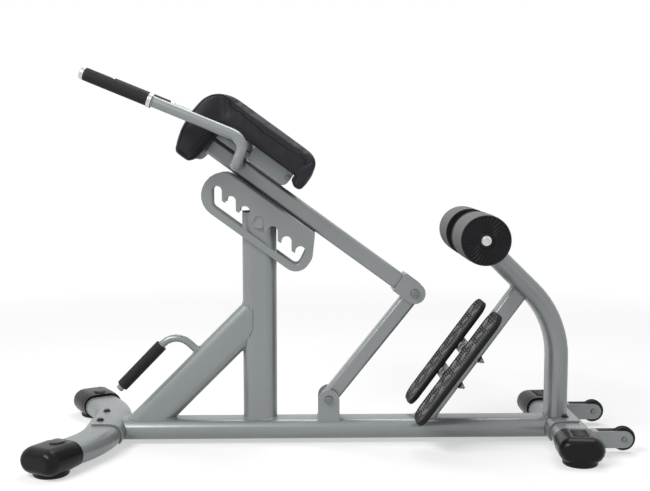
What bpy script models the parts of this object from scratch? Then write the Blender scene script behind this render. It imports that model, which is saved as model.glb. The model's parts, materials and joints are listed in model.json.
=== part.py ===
"""Hyperextension bench: a four-footed steel frame with a toothed, adjustable hip boom.

Metres, +Z up. The bench runs along X: handles at -X, rollers and wheels at +X. X is
measured from the upright's centre line, and the root empty then moves the whole bench
so that its middle stands over the origin. The user faces -X, so -Y is the left side.
"""
import bpy
import bmesh
from collections import namedtuple
from math import acos, asin, atan2, cos, pi, radians, sin, tan
from mathutils import Vector

# Clearances
GAP = 0.0003
RUNNING_GAP = 0.0005
PIN_END_GAP = 0.0005

# Flat-oval frame tube
TUBE_WIDE = 0.090
TUBE_THIN = 0.054
TUBE_WALL = 0.003
GROUND_CLEARANCE = 0.011

# Foot bars, both swept forward at their ends: middle, the bend's corner, sweep, tube end, end to foot disc
FootBar = namedtuple("FootBar", "name middle corner sweep end disc")
FRONT = FootBar("front", -0.410, 0.135, radians(31.0), 0.298, 0.028)
REAR = FootBar("rear", 0.8135, 0.110, radians(5.0), 0.240, 0.016)
BAR_WIDE = 0.103
BAR_BEND = 0.260
SADDLE_REACH = 0.080
INNER_STATIONS = (0.040, 0.065, SADDLE_REACH)
OUTER_STATIONS = (0.100, 0.120, 0.140, 0.160, 0.180, 0.200)
BOOT_LENGTH = 0.080
BOOT_WALL = 0.0065
BOOT_MOUTH_WALL = 0.0045
BOOT_LIFT = 0.003
BOOT_MOUTH = 0.012
BOOT_NOSE = 0.0285
BOOT_NOSE_TAPER = 0.0200
FOOT_DISC_RADIUS = 0.044
FOOT_DISC_EDGE = 0.003
SADDLE_PLATE = 0.005
SADDLE_LIP = 0.027
SADDLE_WRAP_STEPS = 6

# Mast: upright, its lid and the diagonal brace
PIN_HEIGHT = 0.594
PIN_TO_TOP = 0.022
LID = 0.003
LID_SPIGOT = 0.006
BRACE_FOOT_X = -0.355
BRACE_MEETS_MAST = 0.355

# Hip boom and the toothed rack below it, along the boom and off its centre line
BOOM_SLOPE = radians(36.0)
BOOM_SIZE = 0.045
BOOM_CORNER = 0.009
BOOM_WALL = 0.003
BOOM_PAST_RACK = 0.0450
BOOM_CAP = 0.003
SEAT_ALONG = 0.4445
SEAT_BELOW = 0.0850
NOTCH_COUNT = 7
NOTCH_PITCH = 0.0445
NOTCH_RADIUS = 0.0130
TOOTH_DROP = 0.0130
TOOTH_TIP_RADIUS = 0.0025
LANE_HEIGHT = 0.0260
LANE_END_RADIUS = 0.0125
LANE_TO_RACK_END = 0.0190
RACK_RAIL = 0.0185
RACK_PLATE = 0.006
RACK_HALF_INSIDE = 0.036
RACK_BEND = 0.010
RACK_END_RAIL = 0.0375
RACK_LOW_SLANT = 0.0350
RACK_LOW_SHOULDER = 0.0830
RACK_HIGH_RADIUS = 0.0590
RACK_LOW_RADIUS = 0.0380
PIN_RADIUS = 0.0125
PIN_COLLAR = 0.0200

# Link between boom and base
LINK_LENGTH = 0.3637
LINK_SLOPE = radians(51.46)
LINK_SIZE = 0.042
LINK_CORNER = 0.009
BUSH_RADIUS = 0.022
BUSH_LENGTH = 0.0544
PIVOT_RADIUS = 0.008
PIVOT_HEAD_RADIUS = 0.0125
PIVOT_HEAD = 0.008
EAR_PLATE = 0.006
EAR_RADIUS = 0.028
EAR_FLOOR = 0.006
CLEVIS_REACH = 0.052
BRACKET_FOOT_DEPTH = 0.020

# Hip pad and the rail it sits on, along the boom and above its centre line
PAD_WIDTH = 0.300
PAD_LENGTH = 0.3360
PAD_TOP = 0.1340
PAD_UNDERSIDE = 0.0670
PAD_LIP_BOTTOM = 0.0400
PAD_LIP = 0.0310
PAD_NOSE_CLEARANCE = 0.0004
PAD_NOSE_THICK = 0.0499
PAD_NOSE_REACH = 0.0763
PAD_NOSE_BOTTOM = -0.0625
PAD_NOSE_BEND = -0.0090
PAD_EDGE = 0.0105
PAD_SIDE_ROUND = 0.010
RAIL_PAST_LIP = 0.0065
RAIL_LENGTH = 0.1210
RAIL_PLATE = 0.005
RAIL_HALF_WIDTH = 0.055
RAIL_CORNER = 0.020

# Handlebar
BAR_RADIUS = 0.0136
BAR_WALL = 0.002
BAR_CROSS_FROM_END = 0.0910
BAR_CROSS_ABOVE = 0.0050
BAR_CORNER_RUN = 0.0156
BAR_CORNER_ABOVE = 0.0718
BAR_LOW_BEND = 0.020
BAR_HIGH_BEND = 0.035
HANDLE_LENGTH = 0.418
HANDLE_TILT = radians(13.9)
HANDLE_SPACING = 0.430
HANDLE_END_SPACING = 0.380
GRIP_LENGTH = 0.164
GRIP_WALL = 0.0025
COLLAR_LENGTH = 0.010
COLLAR_WALL = 0.0045
PLUG_LENGTH = 0.011
PLUG_SPIGOT = 0.020

# Rear post and rollers
POST_X = 0.795
POST_CORNER_Z = 0.333
POST_BEND = 0.250
ROLLER_X = 0.566
ROLLER_Z = 0.556
HUB_RADIUS = 0.021
HUB_LENGTH = 0.091
AXLE_RADIUS = 0.009
AXLE_HEAD_RADIUS = 0.0125
AXLE_HEAD = 0.007
ROLLER_LENGTH = 0.150
FOAM_RADIUS = 0.0635
FOAM_EDGE = 0.004
CORE_RADIUS = 0.020
CORE_FLANGE = 0.004
INNER_FLANGE_RADIUS = 0.0645
OUTER_FLANGE_RADIUS = 0.0625

# Footplates and the stem that carries them
STEM_SIZE = 0.045
STEM_CORNER = 0.008
STEM_WALL = 0.003
STEM_FOOT_X = 0.4436
STEM_FOOT_Z = 0.066
STEM_SLOPE = radians(53.7)
STEM_REACH = 0.450
TREAD_START = -0.012
TREAD_LENGTH = 0.350
TREAD_WIDTH = 0.118
TREAD_THICKNESS = 0.013
TREAD_CORNER = 0.022
TREAD_SPACING = 0.224
STRAP_THICKNESS = 0.006
STRAP_WIDTH = 0.038
STRAP_LENGTH = 0.310
STRAP_PLACES = (0.123, 0.209)

# Transport wheels
WHEEL_RADIUS = 0.031
WHEEL_WIDTH = 0.024
WHEEL_EDGE = 0.004
WHEEL_X = 0.9365
WHEEL_Z = 0.0400
WHEEL_Y = 0.138
WHEEL_BOLT_RADIUS = 0.005
WHEEL_BOLT_HEAD_RADIUS = 0.008
WHEEL_BOLT_HEAD = 0.004
FORK_PLATE = 0.004
FORK_HEIGHT = 0.044
FORK_START_X = 0.820
FORK_SLOT_X = 0.870

# Carry handle: down the brace from its top and out from its centre line
CARRY_RADIUS = 0.010
CARRY_ROOT = (0.1933, -0.0117)
CARRY_CORNER = (0.1973, 0.1195)
CARRY_END = (0.4158, 0.1160)
CARRY_BEND = 0.050
CARRY_GRIP_LENGTH = 0.152
CARRY_GRIP_WALL = 0.0060
CARRY_GRIP_FROM_END = 0.012

# Smoothness
OVAL_STEPS = 8
OVAL_STEP = pi / OVAL_STEPS
ARC_STEP = radians(15.0)
ROUND_STEPS = 24
FOOT_STEPS = 28
PAD_STEPS = 4
BOOT_NOSE_STEPS = 5
SHARP_ANGLE = radians(35.0)
ENDLESS = 1.0

# Directions and places worked out from the sizes above
X_AXIS = Vector((1, 0, 0))
Y_AXIS = Vector((0, 1, 0))
Z_AXIS = Vector((0, 0, 1))
SIDES = (("left", -1), ("right", 1))
OVAL_RADIUS = TUBE_THIN / 2
OVAL_FLAT = (TUBE_WIDE - TUBE_THIN) / 2
BAR_FLAT = (BAR_WIDE - TUBE_THIN) / 2
BASE_Z = GROUND_CLEARANCE + OVAL_RADIUS
BASE_TOP = BASE_Z + OVAL_RADIUS
UP_BOOM = Vector((-cos(BOOM_SLOPE), 0, sin(BOOM_SLOPE)))
OFF_BOOM = Vector((sin(BOOM_SLOPE), 0, cos(BOOM_SLOPE)))
UP_LINK = Vector((cos(LINK_SLOPE), 0, sin(LINK_SLOPE)))
SUPPORT_PIN = Vector((0, 0, PIN_HEIGHT))
UPPER_PIVOT = SUPPORT_PIN - SEAT_ALONG * UP_BOOM + SEAT_BELOW * OFF_BOOM
LOWER_PIVOT = UPPER_PIVOT - LINK_LENGTH * UP_LINK
ROLLER_AXIS = Vector((ROLLER_X, 0, ROLLER_Z))
EAR_INSIDE = BUSH_LENGTH / 2 + GAP
EAR_OUTSIDE = EAR_INSIDE + EAR_PLATE
RACK_TOP = -(BOOM_SIZE / 2 + GAP)
TOOTH_LINE = -(SEAT_BELOW + TOOTH_DROP)
LANE_BOTTOM = TOOTH_LINE - LANE_HEIGHT
RACK_BOTTOM = LANE_BOTTOM - RACK_RAIL
SEATS_HALF_RUN = (NOTCH_COUNT - 1) / 2 * NOTCH_PITCH
RACK_LOW_END = SEAT_ALONG - SEATS_HALF_RUN - RACK_END_RAIL
RACK_HIGH_END = SEAT_ALONG + SEATS_HALF_RUN + RACK_END_RAIL
BOOM_LENGTH = RACK_HIGH_END + BOOM_PAST_RACK
PAD_NOSE_BACK = BOOM_LENGTH + GAP + BOOM_CAP + PAD_NOSE_CLEARANCE
PAD_NOSE_TIP = PAD_NOSE_BACK + PAD_NOSE_THICK
PAD_HIGH_END = PAD_NOSE_BACK + PAD_NOSE_REACH
PAD_LOW_END = PAD_HIGH_END - PAD_LENGTH
RAIL_LOW_END = PAD_LOW_END + PAD_LIP + RAIL_PAST_LIP
RAIL_HIGH_END = RAIL_LOW_END + RAIL_LENGTH
BAR_CROSS_ALONG = BOOM_LENGTH - BAR_CROSS_FROM_END
BAR_CORNER_ALONG = BAR_CROSS_ALONG + BAR_CORNER_RUN
BRACE_TOP = Vector((0, 0, BRACE_MEETS_MAST))
UP_BRACE = (BRACE_TOP - Vector((BRACE_FOOT_X, 0, 0))).normalized()
OFF_BRACE = Y_AXIS.cross(UP_BRACE) * -1

# Finishes: colour, roughness, metallic
FINISHES = {
    "frame_paint": ((0.36, 0.39, 0.41), 0.34, 0.35),
    "boot_rubber": ((0.012, 0.012, 0.013), 0.50, 0.0),
    "grip_rubber": ((0.016, 0.016, 0.018), 0.60, 0.0),
    "pad_vinyl": ((0.018, 0.017, 0.022), 0.42, 0.0),
    "roller_foam": ((0.085, 0.088, 0.090), 0.90, 0.0),
    "black_plastic": ((0.014, 0.014, 0.016), 0.45, 0.0),
    "bright_steel": ((0.58, 0.59, 0.60), 0.25, 1.0),
    "dark_steel": ((0.05, 0.05, 0.055), 0.35, 0.9),
    "tread_rubber": ((0.035, 0.036, 0.038), 0.70, 0.0),
}


def clear_scene():
    """Remove what the file already holds, so that the bench stands alone."""
    for old in list(bpy.data.objects):
        bpy.data.objects.remove(old, do_unlink=True)


def finish(name):
    """The named finish as a Principled material, made once."""
    material = bpy.data.materials.get(name)
    if material is None:
        colour, roughness, metallic = FINISHES[name]
        material = bpy.data.materials.new(name)
        material.use_nodes = True
        shader = material.node_tree.nodes["Principled BSDF"]
        shader.inputs["Base Color"].default_value = (*colour, 1.0)
        shader.inputs["Roughness"].default_value = roughness
        shader.inputs["Metallic"].default_value = metallic
    return material


def datum(name, parent=None, location=(0, 0, 0), rotation=(0, 0, 0)):
    """An unseen pivot or datum that pieces hang from."""
    empty = bpy.data.objects.new(name, None)
    bpy.context.collection.objects.link(empty)
    empty.parent = parent
    empty.location = location
    empty.rotation_euler = rotation
    return empty


def piece(name, shape, material, parent, location=(0, 0, 0), rotation=(0, 0, 0)):
    """One closed solid from (points, faces), under its parent."""
    points, faces = shape
    mesh = bpy.data.meshes.new(name)
    mesh.from_pydata([tuple(point) for point in points], [], faces)
    bm = bmesh.new()
    bm.from_mesh(mesh)
    bmesh.ops.recalc_face_normals(bm, faces=bm.faces)
    bm.to_mesh(mesh)
    bm.free()
    mesh.shade_smooth()
    mesh.set_sharp_from_angle(angle=SHARP_ANGLE)
    solid_object = bpy.data.objects.new(name, mesh)
    bpy.context.collection.objects.link(solid_object)
    solid_object.parent = parent
    solid_object.location = location
    solid_object.rotation_euler = rotation
    if material:
        mesh.materials.append(finish(material))
    return solid_object


def combine(target, tool, operation):
    """A live Boolean of the target with a tool, which stays as an unseen guide."""
    tool.hide_render = True
    tool.display_type = "WIRE"
    boolean = target.modifiers.new(tool.name, "BOOLEAN")
    boolean.operation = operation
    boolean.solver = "EXACT"
    boolean.object = tool
    return target


def cut(target, *tools):
    """The target less each tool."""
    for tool in tools:
        combine(target, tool, "DIFFERENCE")
    return target


def rounded(corners, step=ARC_STEP):
    """A closed outline from (x, y, radius) corners, each rounded by its own arc."""
    outline = []
    for index, (x, y, radius) in enumerate(corners):
        here = Vector((x, y))
        if not radius:
            outline.append(here)
            continue
        back = (Vector(corners[index - 1][:2]) - here).normalized()
        ahead = (Vector(corners[(index + 1) % len(corners)][:2]) - here).normalized()
        half = acos(back.dot(ahead)) / 2
        centre = here + (back + ahead).normalized() * (radius / sin(half))
        start = here + back * (radius / tan(half)) - centre
        end = here + ahead * (radius / tan(half)) - centre
        turn = atan2(start.x * end.y - start.y * end.x, start.dot(end))
        steps = max(1, round(abs(turn) / step))
        for i in range(steps + 1):
            angle = turn * i / steps
            outline.append(centre + Vector((start.x * cos(angle) - start.y * sin(angle),
                                            start.x * sin(angle) + start.y * cos(angle))))
    return outline


def box_outline(size, corner):
    """A square with round corners, centred."""
    half = size / 2
    return rounded([(-half, -half, corner), (half, -half, corner),
                    (half, half, corner), (-half, half, corner)], radians(22.5))


def oval(grow=0.0, flat=OVAL_FLAT):
    """The flat-oval outline, wide along its first axis, grown by an offset; flat is half its straight side."""
    radius = OVAL_RADIUS + grow
    outline = []
    for i in range(2 * OVAL_STEPS + 2):
        side = 1 if i <= OVAL_STEPS else -1
        angle = OVAL_STEP * (i - (side < 0)) - pi / 2
        outline.append(Vector((side * flat + radius * cos(angle), radius * sin(angle))))
    return outline


def circle(radius, steps=ROUND_STEPS):
    """A round outline."""
    return [Vector((radius * cos(2 * pi * i / steps), radius * sin(2 * pi * i / steps)))
            for i in range(steps)]


def bent_path(points, radii, step=ARC_STEP):
    """Points and directions along straights, with an arc of its own radius at each inner corner."""
    points = [Vector(point) for point in points]
    path = [(points[0], (points[1] - points[0]).normalized())]
    for before, here, after, radius in zip(points, points[1:], points[2:], radii):
        come = (here - before).normalized()
        leave = (after - here).normalized()
        turn = acos(come.dot(leave))
        inward = (leave - come * come.dot(leave)).normalized()
        centre = here - come * (radius * tan(turn / 2)) + inward * radius
        steps = round(turn / step)
        for i in range(steps + 1):
            angle = turn * i / steps
            path.append((centre - inward * (radius * cos(angle)) + come * (radius * sin(angle)),
                         come * cos(angle) + inward * sin(angle)))
    path.append((points[-1], (points[-1] - points[-2]).normalized()))
    return path


def wide_across(path):
    """Frames that lay a section's first axis along Y."""
    return [(point, Y_AXIS, direction.cross(Y_AXIS)) for point, direction in path]


def wide_in_plane(path):
    """Frames that lay a section's first axis in the side view's plane."""
    return [(point, direction.cross(Y_AXIS), Y_AXIS) for point, direction in path]


def carried(path, first):
    """Frames for a path in space, carried along it without twisting."""
    frames = []
    for point, direction in path:
        first = (first - direction * first.dot(direction)).normalized()
        frames.append((point, first, direction.cross(first)))
    return frames


def rings(outline, frames):
    """The outline's points in each frame."""
    return [[point + a * p.x + b * p.y for p in outline] for point, a, b in frames]


def skin(ring_list):
    """Points and side faces between successive rings."""
    count = len(ring_list[0])
    points = [point for ring in ring_list for point in ring]
    faces = []
    for start in range(0, len(points) - count, count):
        for i in range(count):
            j = (i + 1) % count
            faces.append((start + i, start + j, start + count + j, start + count + i))
    return points, faces


def solid(ring_list):
    """A closed solid through rings, with its two end faces."""
    points, faces = skin(ring_list)
    count = len(ring_list[0])
    faces.append(tuple(range(count)))
    faces.append(tuple(range(len(points) - count, len(points))))
    return points, faces


def hollow(outer, inner):
    """An open-ended tube between outer and inner rings."""
    points, faces = skin(outer)
    inner_points, inner_faces = skin(inner)
    base = len(points)
    count = len(outer[0])
    faces += [tuple(base + index for index in face) for face in inner_faces]
    for start in (0, base - count):
        for i in range(count):
            a = start + i
            b = start + (i + 1) % count
            faces.append((a, b, base + b, base + a))
    return points + inner_points, faces


def side_view(outline, half_width):
    """A side-view outline in X and Z, given its width along Y."""
    return solid([[Vector((p.x, y, p.y)) for p in outline] for y in (-half_width, half_width)])


def end_view(outline, start, end):
    """An end-view outline in Y and Z, given its length along X."""
    return solid([[Vector((x, p.x, p.y)) for p in outline] for x in (start, end)])


def block(low, high):
    """A plain box between two corners."""
    corners = [(low[0], low[2]), (high[0], low[2]), (high[0], high[2]), (low[0], high[2])]
    return solid([[Vector((x, y, z)) for x, z in corners] for y in (low[1], high[1])])


def stepped(stations, origin=(0, 0, 0), direction=Y_AXIS, steps=ROUND_STEPS):
    """A round solid through (distance, radius) stations along a direction."""
    origin = Vector(origin)
    side = X_AXIS if abs(direction.x) < 0.5 else Z_AXIS
    first = (side - direction * side.dot(direction)).normalized()
    frames = [(origin + direction * along, first, direction.cross(first)) for along, _ in stations]
    return solid([rings(circle(radius, steps), [frame])[0]
                  for frame, (_, radius) in zip(frames, stations)])


def shaft(radius, half_length):
    """A plain round bar along Y."""
    return stepped([(-half_length, radius), (half_length, radius)])


def headed_shaft(radius, grip_half, head_radius, head):
    """A pivot bolt along Y: a shaft and a head at each end, outside what it grips."""
    seat = grip_half + GAP
    return stepped([(-seat - head, head_radius), (-seat, head_radius), (-seat, radius),
                    (seat, radius), (seat, head_radius), (seat + head, head_radius)])


def turned(profile):
    """A closed (radius, distance) profile turned about Y."""
    count = len(profile)
    total = count * ROUND_STEPS
    angles = [2 * pi * i / ROUND_STEPS for i in range(ROUND_STEPS + 1)]
    ring_list = [[Vector((r * cos(a), y, r * sin(a))) for r, y in profile] for a in angles]
    points, faces = skin(ring_list)
    return points[:total], [tuple(index % total for index in face) for face in faces]


def bush(outer, bore, half_length):
    """A plain bored ring about Y."""
    return turned([(bore, -half_length), (outer, -half_length), (outer, half_length), (bore, half_length)])


def sleeve(start, direction, length, outer, bore):
    """A round tube along a direction."""
    frames = carried([(start, direction), (start + direction * length, direction)], Y_AXIS)
    return hollow(rings(circle(outer), frames), rings(circle(bore), frames))


def oval_tube(name, frames, parent, flat=OVAL_FLAT):
    """An open length of flat-oval tube."""
    outer = rings(oval(0, flat), frames)
    inner = rings(oval(-TUBE_WALL, flat), frames)
    return piece(name, hollow(outer, inner), "frame_paint", parent)


def oval_room(name, frames, parent, grow=GAP, flat=OVAL_FLAT):
    """The space that a flat-oval tube takes up, with the clearance round it."""
    return piece(name, solid(rings(oval(grow, flat), frames)), None, parent)


def box_tube(size, corner, wall, start, end):
    """An open square tube along X."""
    frames = [(X_AXIS * x, Y_AXIS, Z_AXIS) for x in (start, end)]
    return hollow(rings(box_outline(size, corner), frames),
                  rings(box_outline(size - 2 * wall, corner - wall / 2), frames))


def bar_frame(bar, y):
    """The frame across a bowed foot bar at a distance y from the middle plane."""
    reach = BAR_BEND * tan(bar.sweep / 2)
    bend_start = bar.corner - reach
    bend_end = bar.corner + reach * cos(bar.sweep)
    if abs(y) >= bend_end:
        angle = bar.sweep
        bow = (abs(y) - bar.corner) * tan(bar.sweep)
    else:
        angle = asin(max(0.0, abs(y) - bend_start) / BAR_BEND)
        bow = BAR_BEND * (1 - cos(angle))
    turn = angle * (-1 if y > 0 else 1)
    across = Vector((cos(turn), -sin(turn), 0))
    return Vector((bar.middle - bow, y, BASE_Z)), across, Z_AXIS


def bar_frames(bar, stations):
    """Frames at stations mirrored about the middle plane."""
    return [bar_frame(bar, y) for y in [-y for y in reversed(stations)] + list(stations)]


def foot_bar(bar, bench):
    """One bowed cross foot."""
    frames = bar_frames(bar, (*INNER_STATIONS, *OUTER_STATIONS, bar.end))
    return oval_tube(bar.name + "_foot_bar", frames, bench, BAR_FLAT)


def boot_rings(bar, side):
    """Rings of a boot's outside, from its mouth to its rounded nose."""
    end, across, up = bar_frame(bar, side * bar.end)
    outward = up.cross(across) * side
    stations = [(-BOOT_LENGTH, BOOT_MOUTH_WALL), (-BOOT_LENGTH + BOOT_MOUTH, BOOT_MOUTH_WALL),
                (-BOOT_LENGTH + 2 * BOOT_MOUTH, BOOT_WALL)]
    for i in range(BOOT_NOSE_STEPS + 1):
        angle = pi / 2 * i / BOOT_NOSE_STEPS
        stations.append((BOOT_NOSE * sin(angle), BOOT_WALL - BOOT_NOSE_TAPER * (1 - cos(angle))))
    end = end + up * BOOT_LIFT
    return [rings(oval(grow, BAR_FLAT), [(end + outward * along, across, up)])[0]
            for along, grow in stations]


def boot(bar, label, side, bench):
    """A rubber boot over the end of a foot bar, with its round foot moulded below."""
    name = bar.name + "_boot_" + label
    shell = piece(name, solid(boot_rings(bar, side)), "boot_rubber", bench)
    end, across, up = bar_frame(bar, side * bar.end)
    inward = across.cross(up) * side
    disc = end + inward * bar.disc
    stations = [(0, FOOT_DISC_RADIUS - FOOT_DISC_EDGE), (FOOT_DISC_EDGE, FOOT_DISC_RADIUS),
                (BASE_Z - FOOT_DISC_EDGE, FOOT_DISC_RADIUS)]
    foot = stepped(stations, (disc.x, disc.y, 0), Z_AXIS, FOOT_STEPS)
    combine(shell, piece(name + "_disc", foot, None, bench), "UNION")
    socket = [(end + inward * along, across, up) for along in (-GAP, BOOT_LENGTH * 1.5)]
    return cut(shell, oval_room(name + "_socket", socket, bench, GAP, BAR_FLAT))


def saddle(bar, bench):
    """A folded plate over a foot bar: flat on top, wrapped round the side that meets the main tube."""
    inner = OVAL_RADIUS + GAP
    outer = inner + SADDLE_PLATE
    angles = [pi / 2 - OVAL_STEP * i for i in range(SADDLE_WRAP_STEPS + 1)]
    section = [(-SADDLE_LIP, outer)]
    section += [(BAR_FLAT + outer * cos(a), outer * sin(a)) for a in angles]
    section += [(BAR_FLAT + inner * cos(a), inner * sin(a)) for a in reversed(angles)]
    section.append((-SADDLE_LIP, inner))
    toward_tube = 1 if bar.middle < 0 else -1
    outline = [Vector((toward_tube * x, z)) for x, z in section]
    frames = bar_frames(bar, INNER_STATIONS)
    return piece(bar.name + "_saddle", solid(rings(outline, frames)), "frame_paint", bench)


def base_room(bench):
    """The main tube's upper half and all below it, as a cutter for what stands on it."""
    half = TUBE_WIDE / 2 + GAP
    top = OVAL_RADIUS + GAP
    outline = rounded([(-half, -TUBE_WIDE, 0), (half, -TUBE_WIDE, 0), (half, top, top), (-half, top, top)],
                      OVAL_STEP)
    shape = end_view(outline, FRONT.middle, REAR.middle)
    return piece("base_room", shape, None, bench, (0, 0, BASE_Z))


def base(bench):
    """Main tube, bowed foot bars with their saddles, and four boots; returns the rear saddle's room."""
    run = [(Vector((bar.middle, 0, BASE_Z)), Y_AXIS, Z_AXIS) for bar in (FRONT, REAR)]
    main_tube = oval_tube("main_tube", run, bench)
    clearance = 2 * GAP + SADDLE_PLATE
    for bar in (FRONT, REAR):
        foot_bar(bar, bench)
        saddle(bar, bench)
        frames = bar_frames(bar, INNER_STATIONS)
        room = oval_room(bar.name + "_saddle_room", frames, bench, clearance, BAR_FLAT)
        cut(main_tube, room)
        for label, side in SIDES:
            boot(bar, label, side, bench)
    return room


def mast(bench, base_cutter):
    """Upright with its lid and support pin, and the diagonal brace behind it."""
    top = PIN_HEIGHT + PIN_TO_TOP
    run = [(Vector((0, 0, z)), X_AXIS, Y_AXIS) for z in (BASE_Z, top)]
    upright = oval_tube("upright", run, bench)
    hole = piece("support_pin_hole", shaft(PIN_RADIUS + GAP, TUBE_WIDE), None, bench, SUPPORT_PIN)
    cut(upright, base_cutter, hole)
    lid = [(top - LID_SPIGOT, -TUBE_WALL - GAP), (top + GAP, -TUBE_WALL - GAP), (top + GAP, 0),
           (top + GAP + LID, 0)]
    lid_rings = [rings(oval(grow), [(Vector((0, 0, z)), X_AXIS, Y_AXIS)])[0] for z, grow in lid]
    piece("upright_lid", solid(lid_rings), "black_plastic", bench)
    pin_end = RACK_HALF_INSIDE - PIN_END_GAP
    collar = OVAL_RADIUS + GAP
    pin = stepped([(-pin_end, PIN_COLLAR), (-collar, PIN_COLLAR), (-collar, PIN_RADIUS),
                   (collar, PIN_RADIUS), (collar, PIN_COLLAR), (pin_end, PIN_COLLAR)])
    piece("support_pin", pin, "bright_steel", bench, SUPPORT_PIN)
    foot = Vector((BRACE_FOOT_X, 0, 0))
    frames = wide_in_plane([(foot, UP_BRACE), (BRACE_TOP, UP_BRACE)])
    brace = oval_tube("diagonal_brace", frames, bench)
    cut(brace, base_cutter, oval_room("upright_room", run, bench))
    return oval_room("brace_room", frames, bench)


def carry_handle(bench, brace_room):
    """A bent bar off the brace with a rubber grip on its free end."""
    corners = (CARRY_ROOT, CARRY_CORNER, CARRY_END)
    path = bent_path([BRACE_TOP - down * UP_BRACE + out * OFF_BRACE for down, out in corners], [CARRY_BEND])
    handle = piece("carry_handle", solid(rings(circle(CARRY_RADIUS, 16), wide_across(path))),
                   "frame_paint", bench)
    cut(handle, brace_room)
    end, direction = path[-1]
    start = end - direction * (CARRY_GRIP_FROM_END + CARRY_GRIP_LENGTH)
    shape = sleeve(start, direction, CARRY_GRIP_LENGTH, CARRY_RADIUS + CARRY_GRIP_WALL, CARRY_RADIUS + GAP)
    piece("carry_grip", shape, "grip_rubber", bench)


def ears(name, foot, floor, parent, location=(0, 0, 0), rotation=(0, 0, 0)):
    """Two round-topped ears on a common floor, bored for a pivot at their own origin."""
    arc = [(EAR_RADIUS * cos(ARC_STEP * i), EAR_RADIUS * sin(ARC_STEP * i)) for i in range(13)]
    outline = [Vector(p) for p in arc + [(-EAR_RADIUS, -foot), (EAR_RADIUS, -foot)]]
    body = piece(name, side_view(outline, EAR_OUTSIDE), "frame_paint", parent, location, rotation)
    slot = block((-ENDLESS, -EAR_INSIDE, -floor), (ENDLESS, EAR_INSIDE, ENDLESS))
    slot = piece(name + "_slot", slot, None, parent, location, rotation)
    bore = piece(name + "_bore", shaft(PIVOT_RADIUS + GAP, TUBE_WIDE), None, parent, location, rotation)
    return cut(body, slot, bore)


def pivot_bolt(name, parent):
    """A pivot bolt through two ears and the bush between them."""
    shape = headed_shaft(PIVOT_RADIUS, EAR_OUTSIDE, PIVOT_HEAD_RADIUS, PIVOT_HEAD)
    return piece(name, shape, "dark_steel", parent)


def link(lower_pivot):
    """The square link with a bush at each end."""
    frame = datum("link", lower_pivot, rotation=(0, -LINK_SLOPE, 0))
    inset = BUSH_RADIUS / 2
    shape = box_tube(LINK_SIZE, LINK_CORNER, TUBE_WALL, inset, LINK_LENGTH - inset)
    tube = piece("link_tube", shape, "frame_paint", frame)
    for name, x in (("lower", 0), ("upper", LINK_LENGTH)):
        shape = bush(BUSH_RADIUS, PIVOT_RADIUS + GAP, BUSH_LENGTH / 2)
        piece("link_" + name + "_bush", shape, "frame_paint", frame, (x, 0, 0))
        room = shaft(BUSH_RADIUS + GAP, TUBE_WIDE)
        cut(tube, piece("link_" + name + "_room", room, None, frame, (x, 0, 0)))


def rack_outline():
    """The side view of the rack's cheeks, below the boom."""
    return rounded([
        (RACK_LOW_END + RACK_LOW_SLANT, RACK_TOP, 0), (RACK_HIGH_END, RACK_TOP, RACK_HIGH_RADIUS),
        (RACK_HIGH_END, RACK_BOTTOM, RACK_HIGH_RADIUS), (RACK_LOW_END, RACK_BOTTOM, RACK_LOW_RADIUS),
        (RACK_LOW_END, -RACK_LOW_SHOULDER, RACK_LOW_RADIUS)])


def lane_outline():
    """The slot in the cheeks: a lane for the pin with upright round-topped notches above it."""
    up = Vector((sin(BOOM_SLOPE), cos(BOOM_SLOPE)))
    right = Vector((-cos(BOOM_SLOPE), sin(BOOM_SLOPE)))
    corners = []
    for notch in range(NOTCH_COUNT):
        along = SEAT_ALONG + (NOTCH_COUNT // 2 - notch) * NOTCH_PITCH
        seat = Vector((along, -SEAT_BELOW))
        left_top = seat + (up - right) * NOTCH_RADIUS
        right_top = seat + (up + right) * NOTCH_RADIUS
        left_end = LANE_BOTTOM if notch == 0 else TOOTH_LINE
        left_drop = (left_top.y - left_end) / up.y
        right_drop = (right_top.y - TOOTH_LINE) / up.y
        corners.append((*(left_top - up * left_drop), TOOTH_TIP_RADIUS if notch else NOTCH_RADIUS))
        corners.append((*left_top, NOTCH_RADIUS * 0.98))
        corners.append((*right_top, NOTCH_RADIUS * 0.98))
        if notch < NOTCH_COUNT - 1:
            corners.append((*(right_top - up * right_drop), TOOTH_TIP_RADIUS))
    corners.append((*(seat + right * NOTCH_RADIUS), 0))
    corners.append((RACK_LOW_END + LANE_TO_RACK_END, LANE_BOTTOM, LANE_END_RADIUS))
    return rounded(corners, radians(22.5))


def rack(boom):
    """The folded channel below the boom whose cheeks carry the row of notches."""
    inside = RACK_HALF_INSIDE
    outside = inside + RACK_PLATE
    low = 2 * RACK_BOTTOM
    web = RACK_TOP - RACK_PLATE
    section = rounded([
        (-outside, low, 0), (-inside, low, 0), (-inside, web, RACK_BEND - RACK_PLATE),
        (inside, web, RACK_BEND - RACK_PLATE), (inside, low, 0), (outside, low, 0),
        (outside, RACK_TOP, RACK_BEND), (-outside, RACK_TOP, RACK_BEND)], radians(22.5))
    shape = end_view(section, RACK_LOW_END - RACK_BEND, RACK_HIGH_END + RACK_BEND)
    channel = piece("rack_channel", shape, "frame_paint", boom)
    combine(channel, piece("rack_outline", side_view(rack_outline(), 2 * outside), None, boom), "INTERSECT")
    return cut(channel, piece("rack_lane", side_view(lane_outline(), 2 * outside), None, boom))


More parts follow.
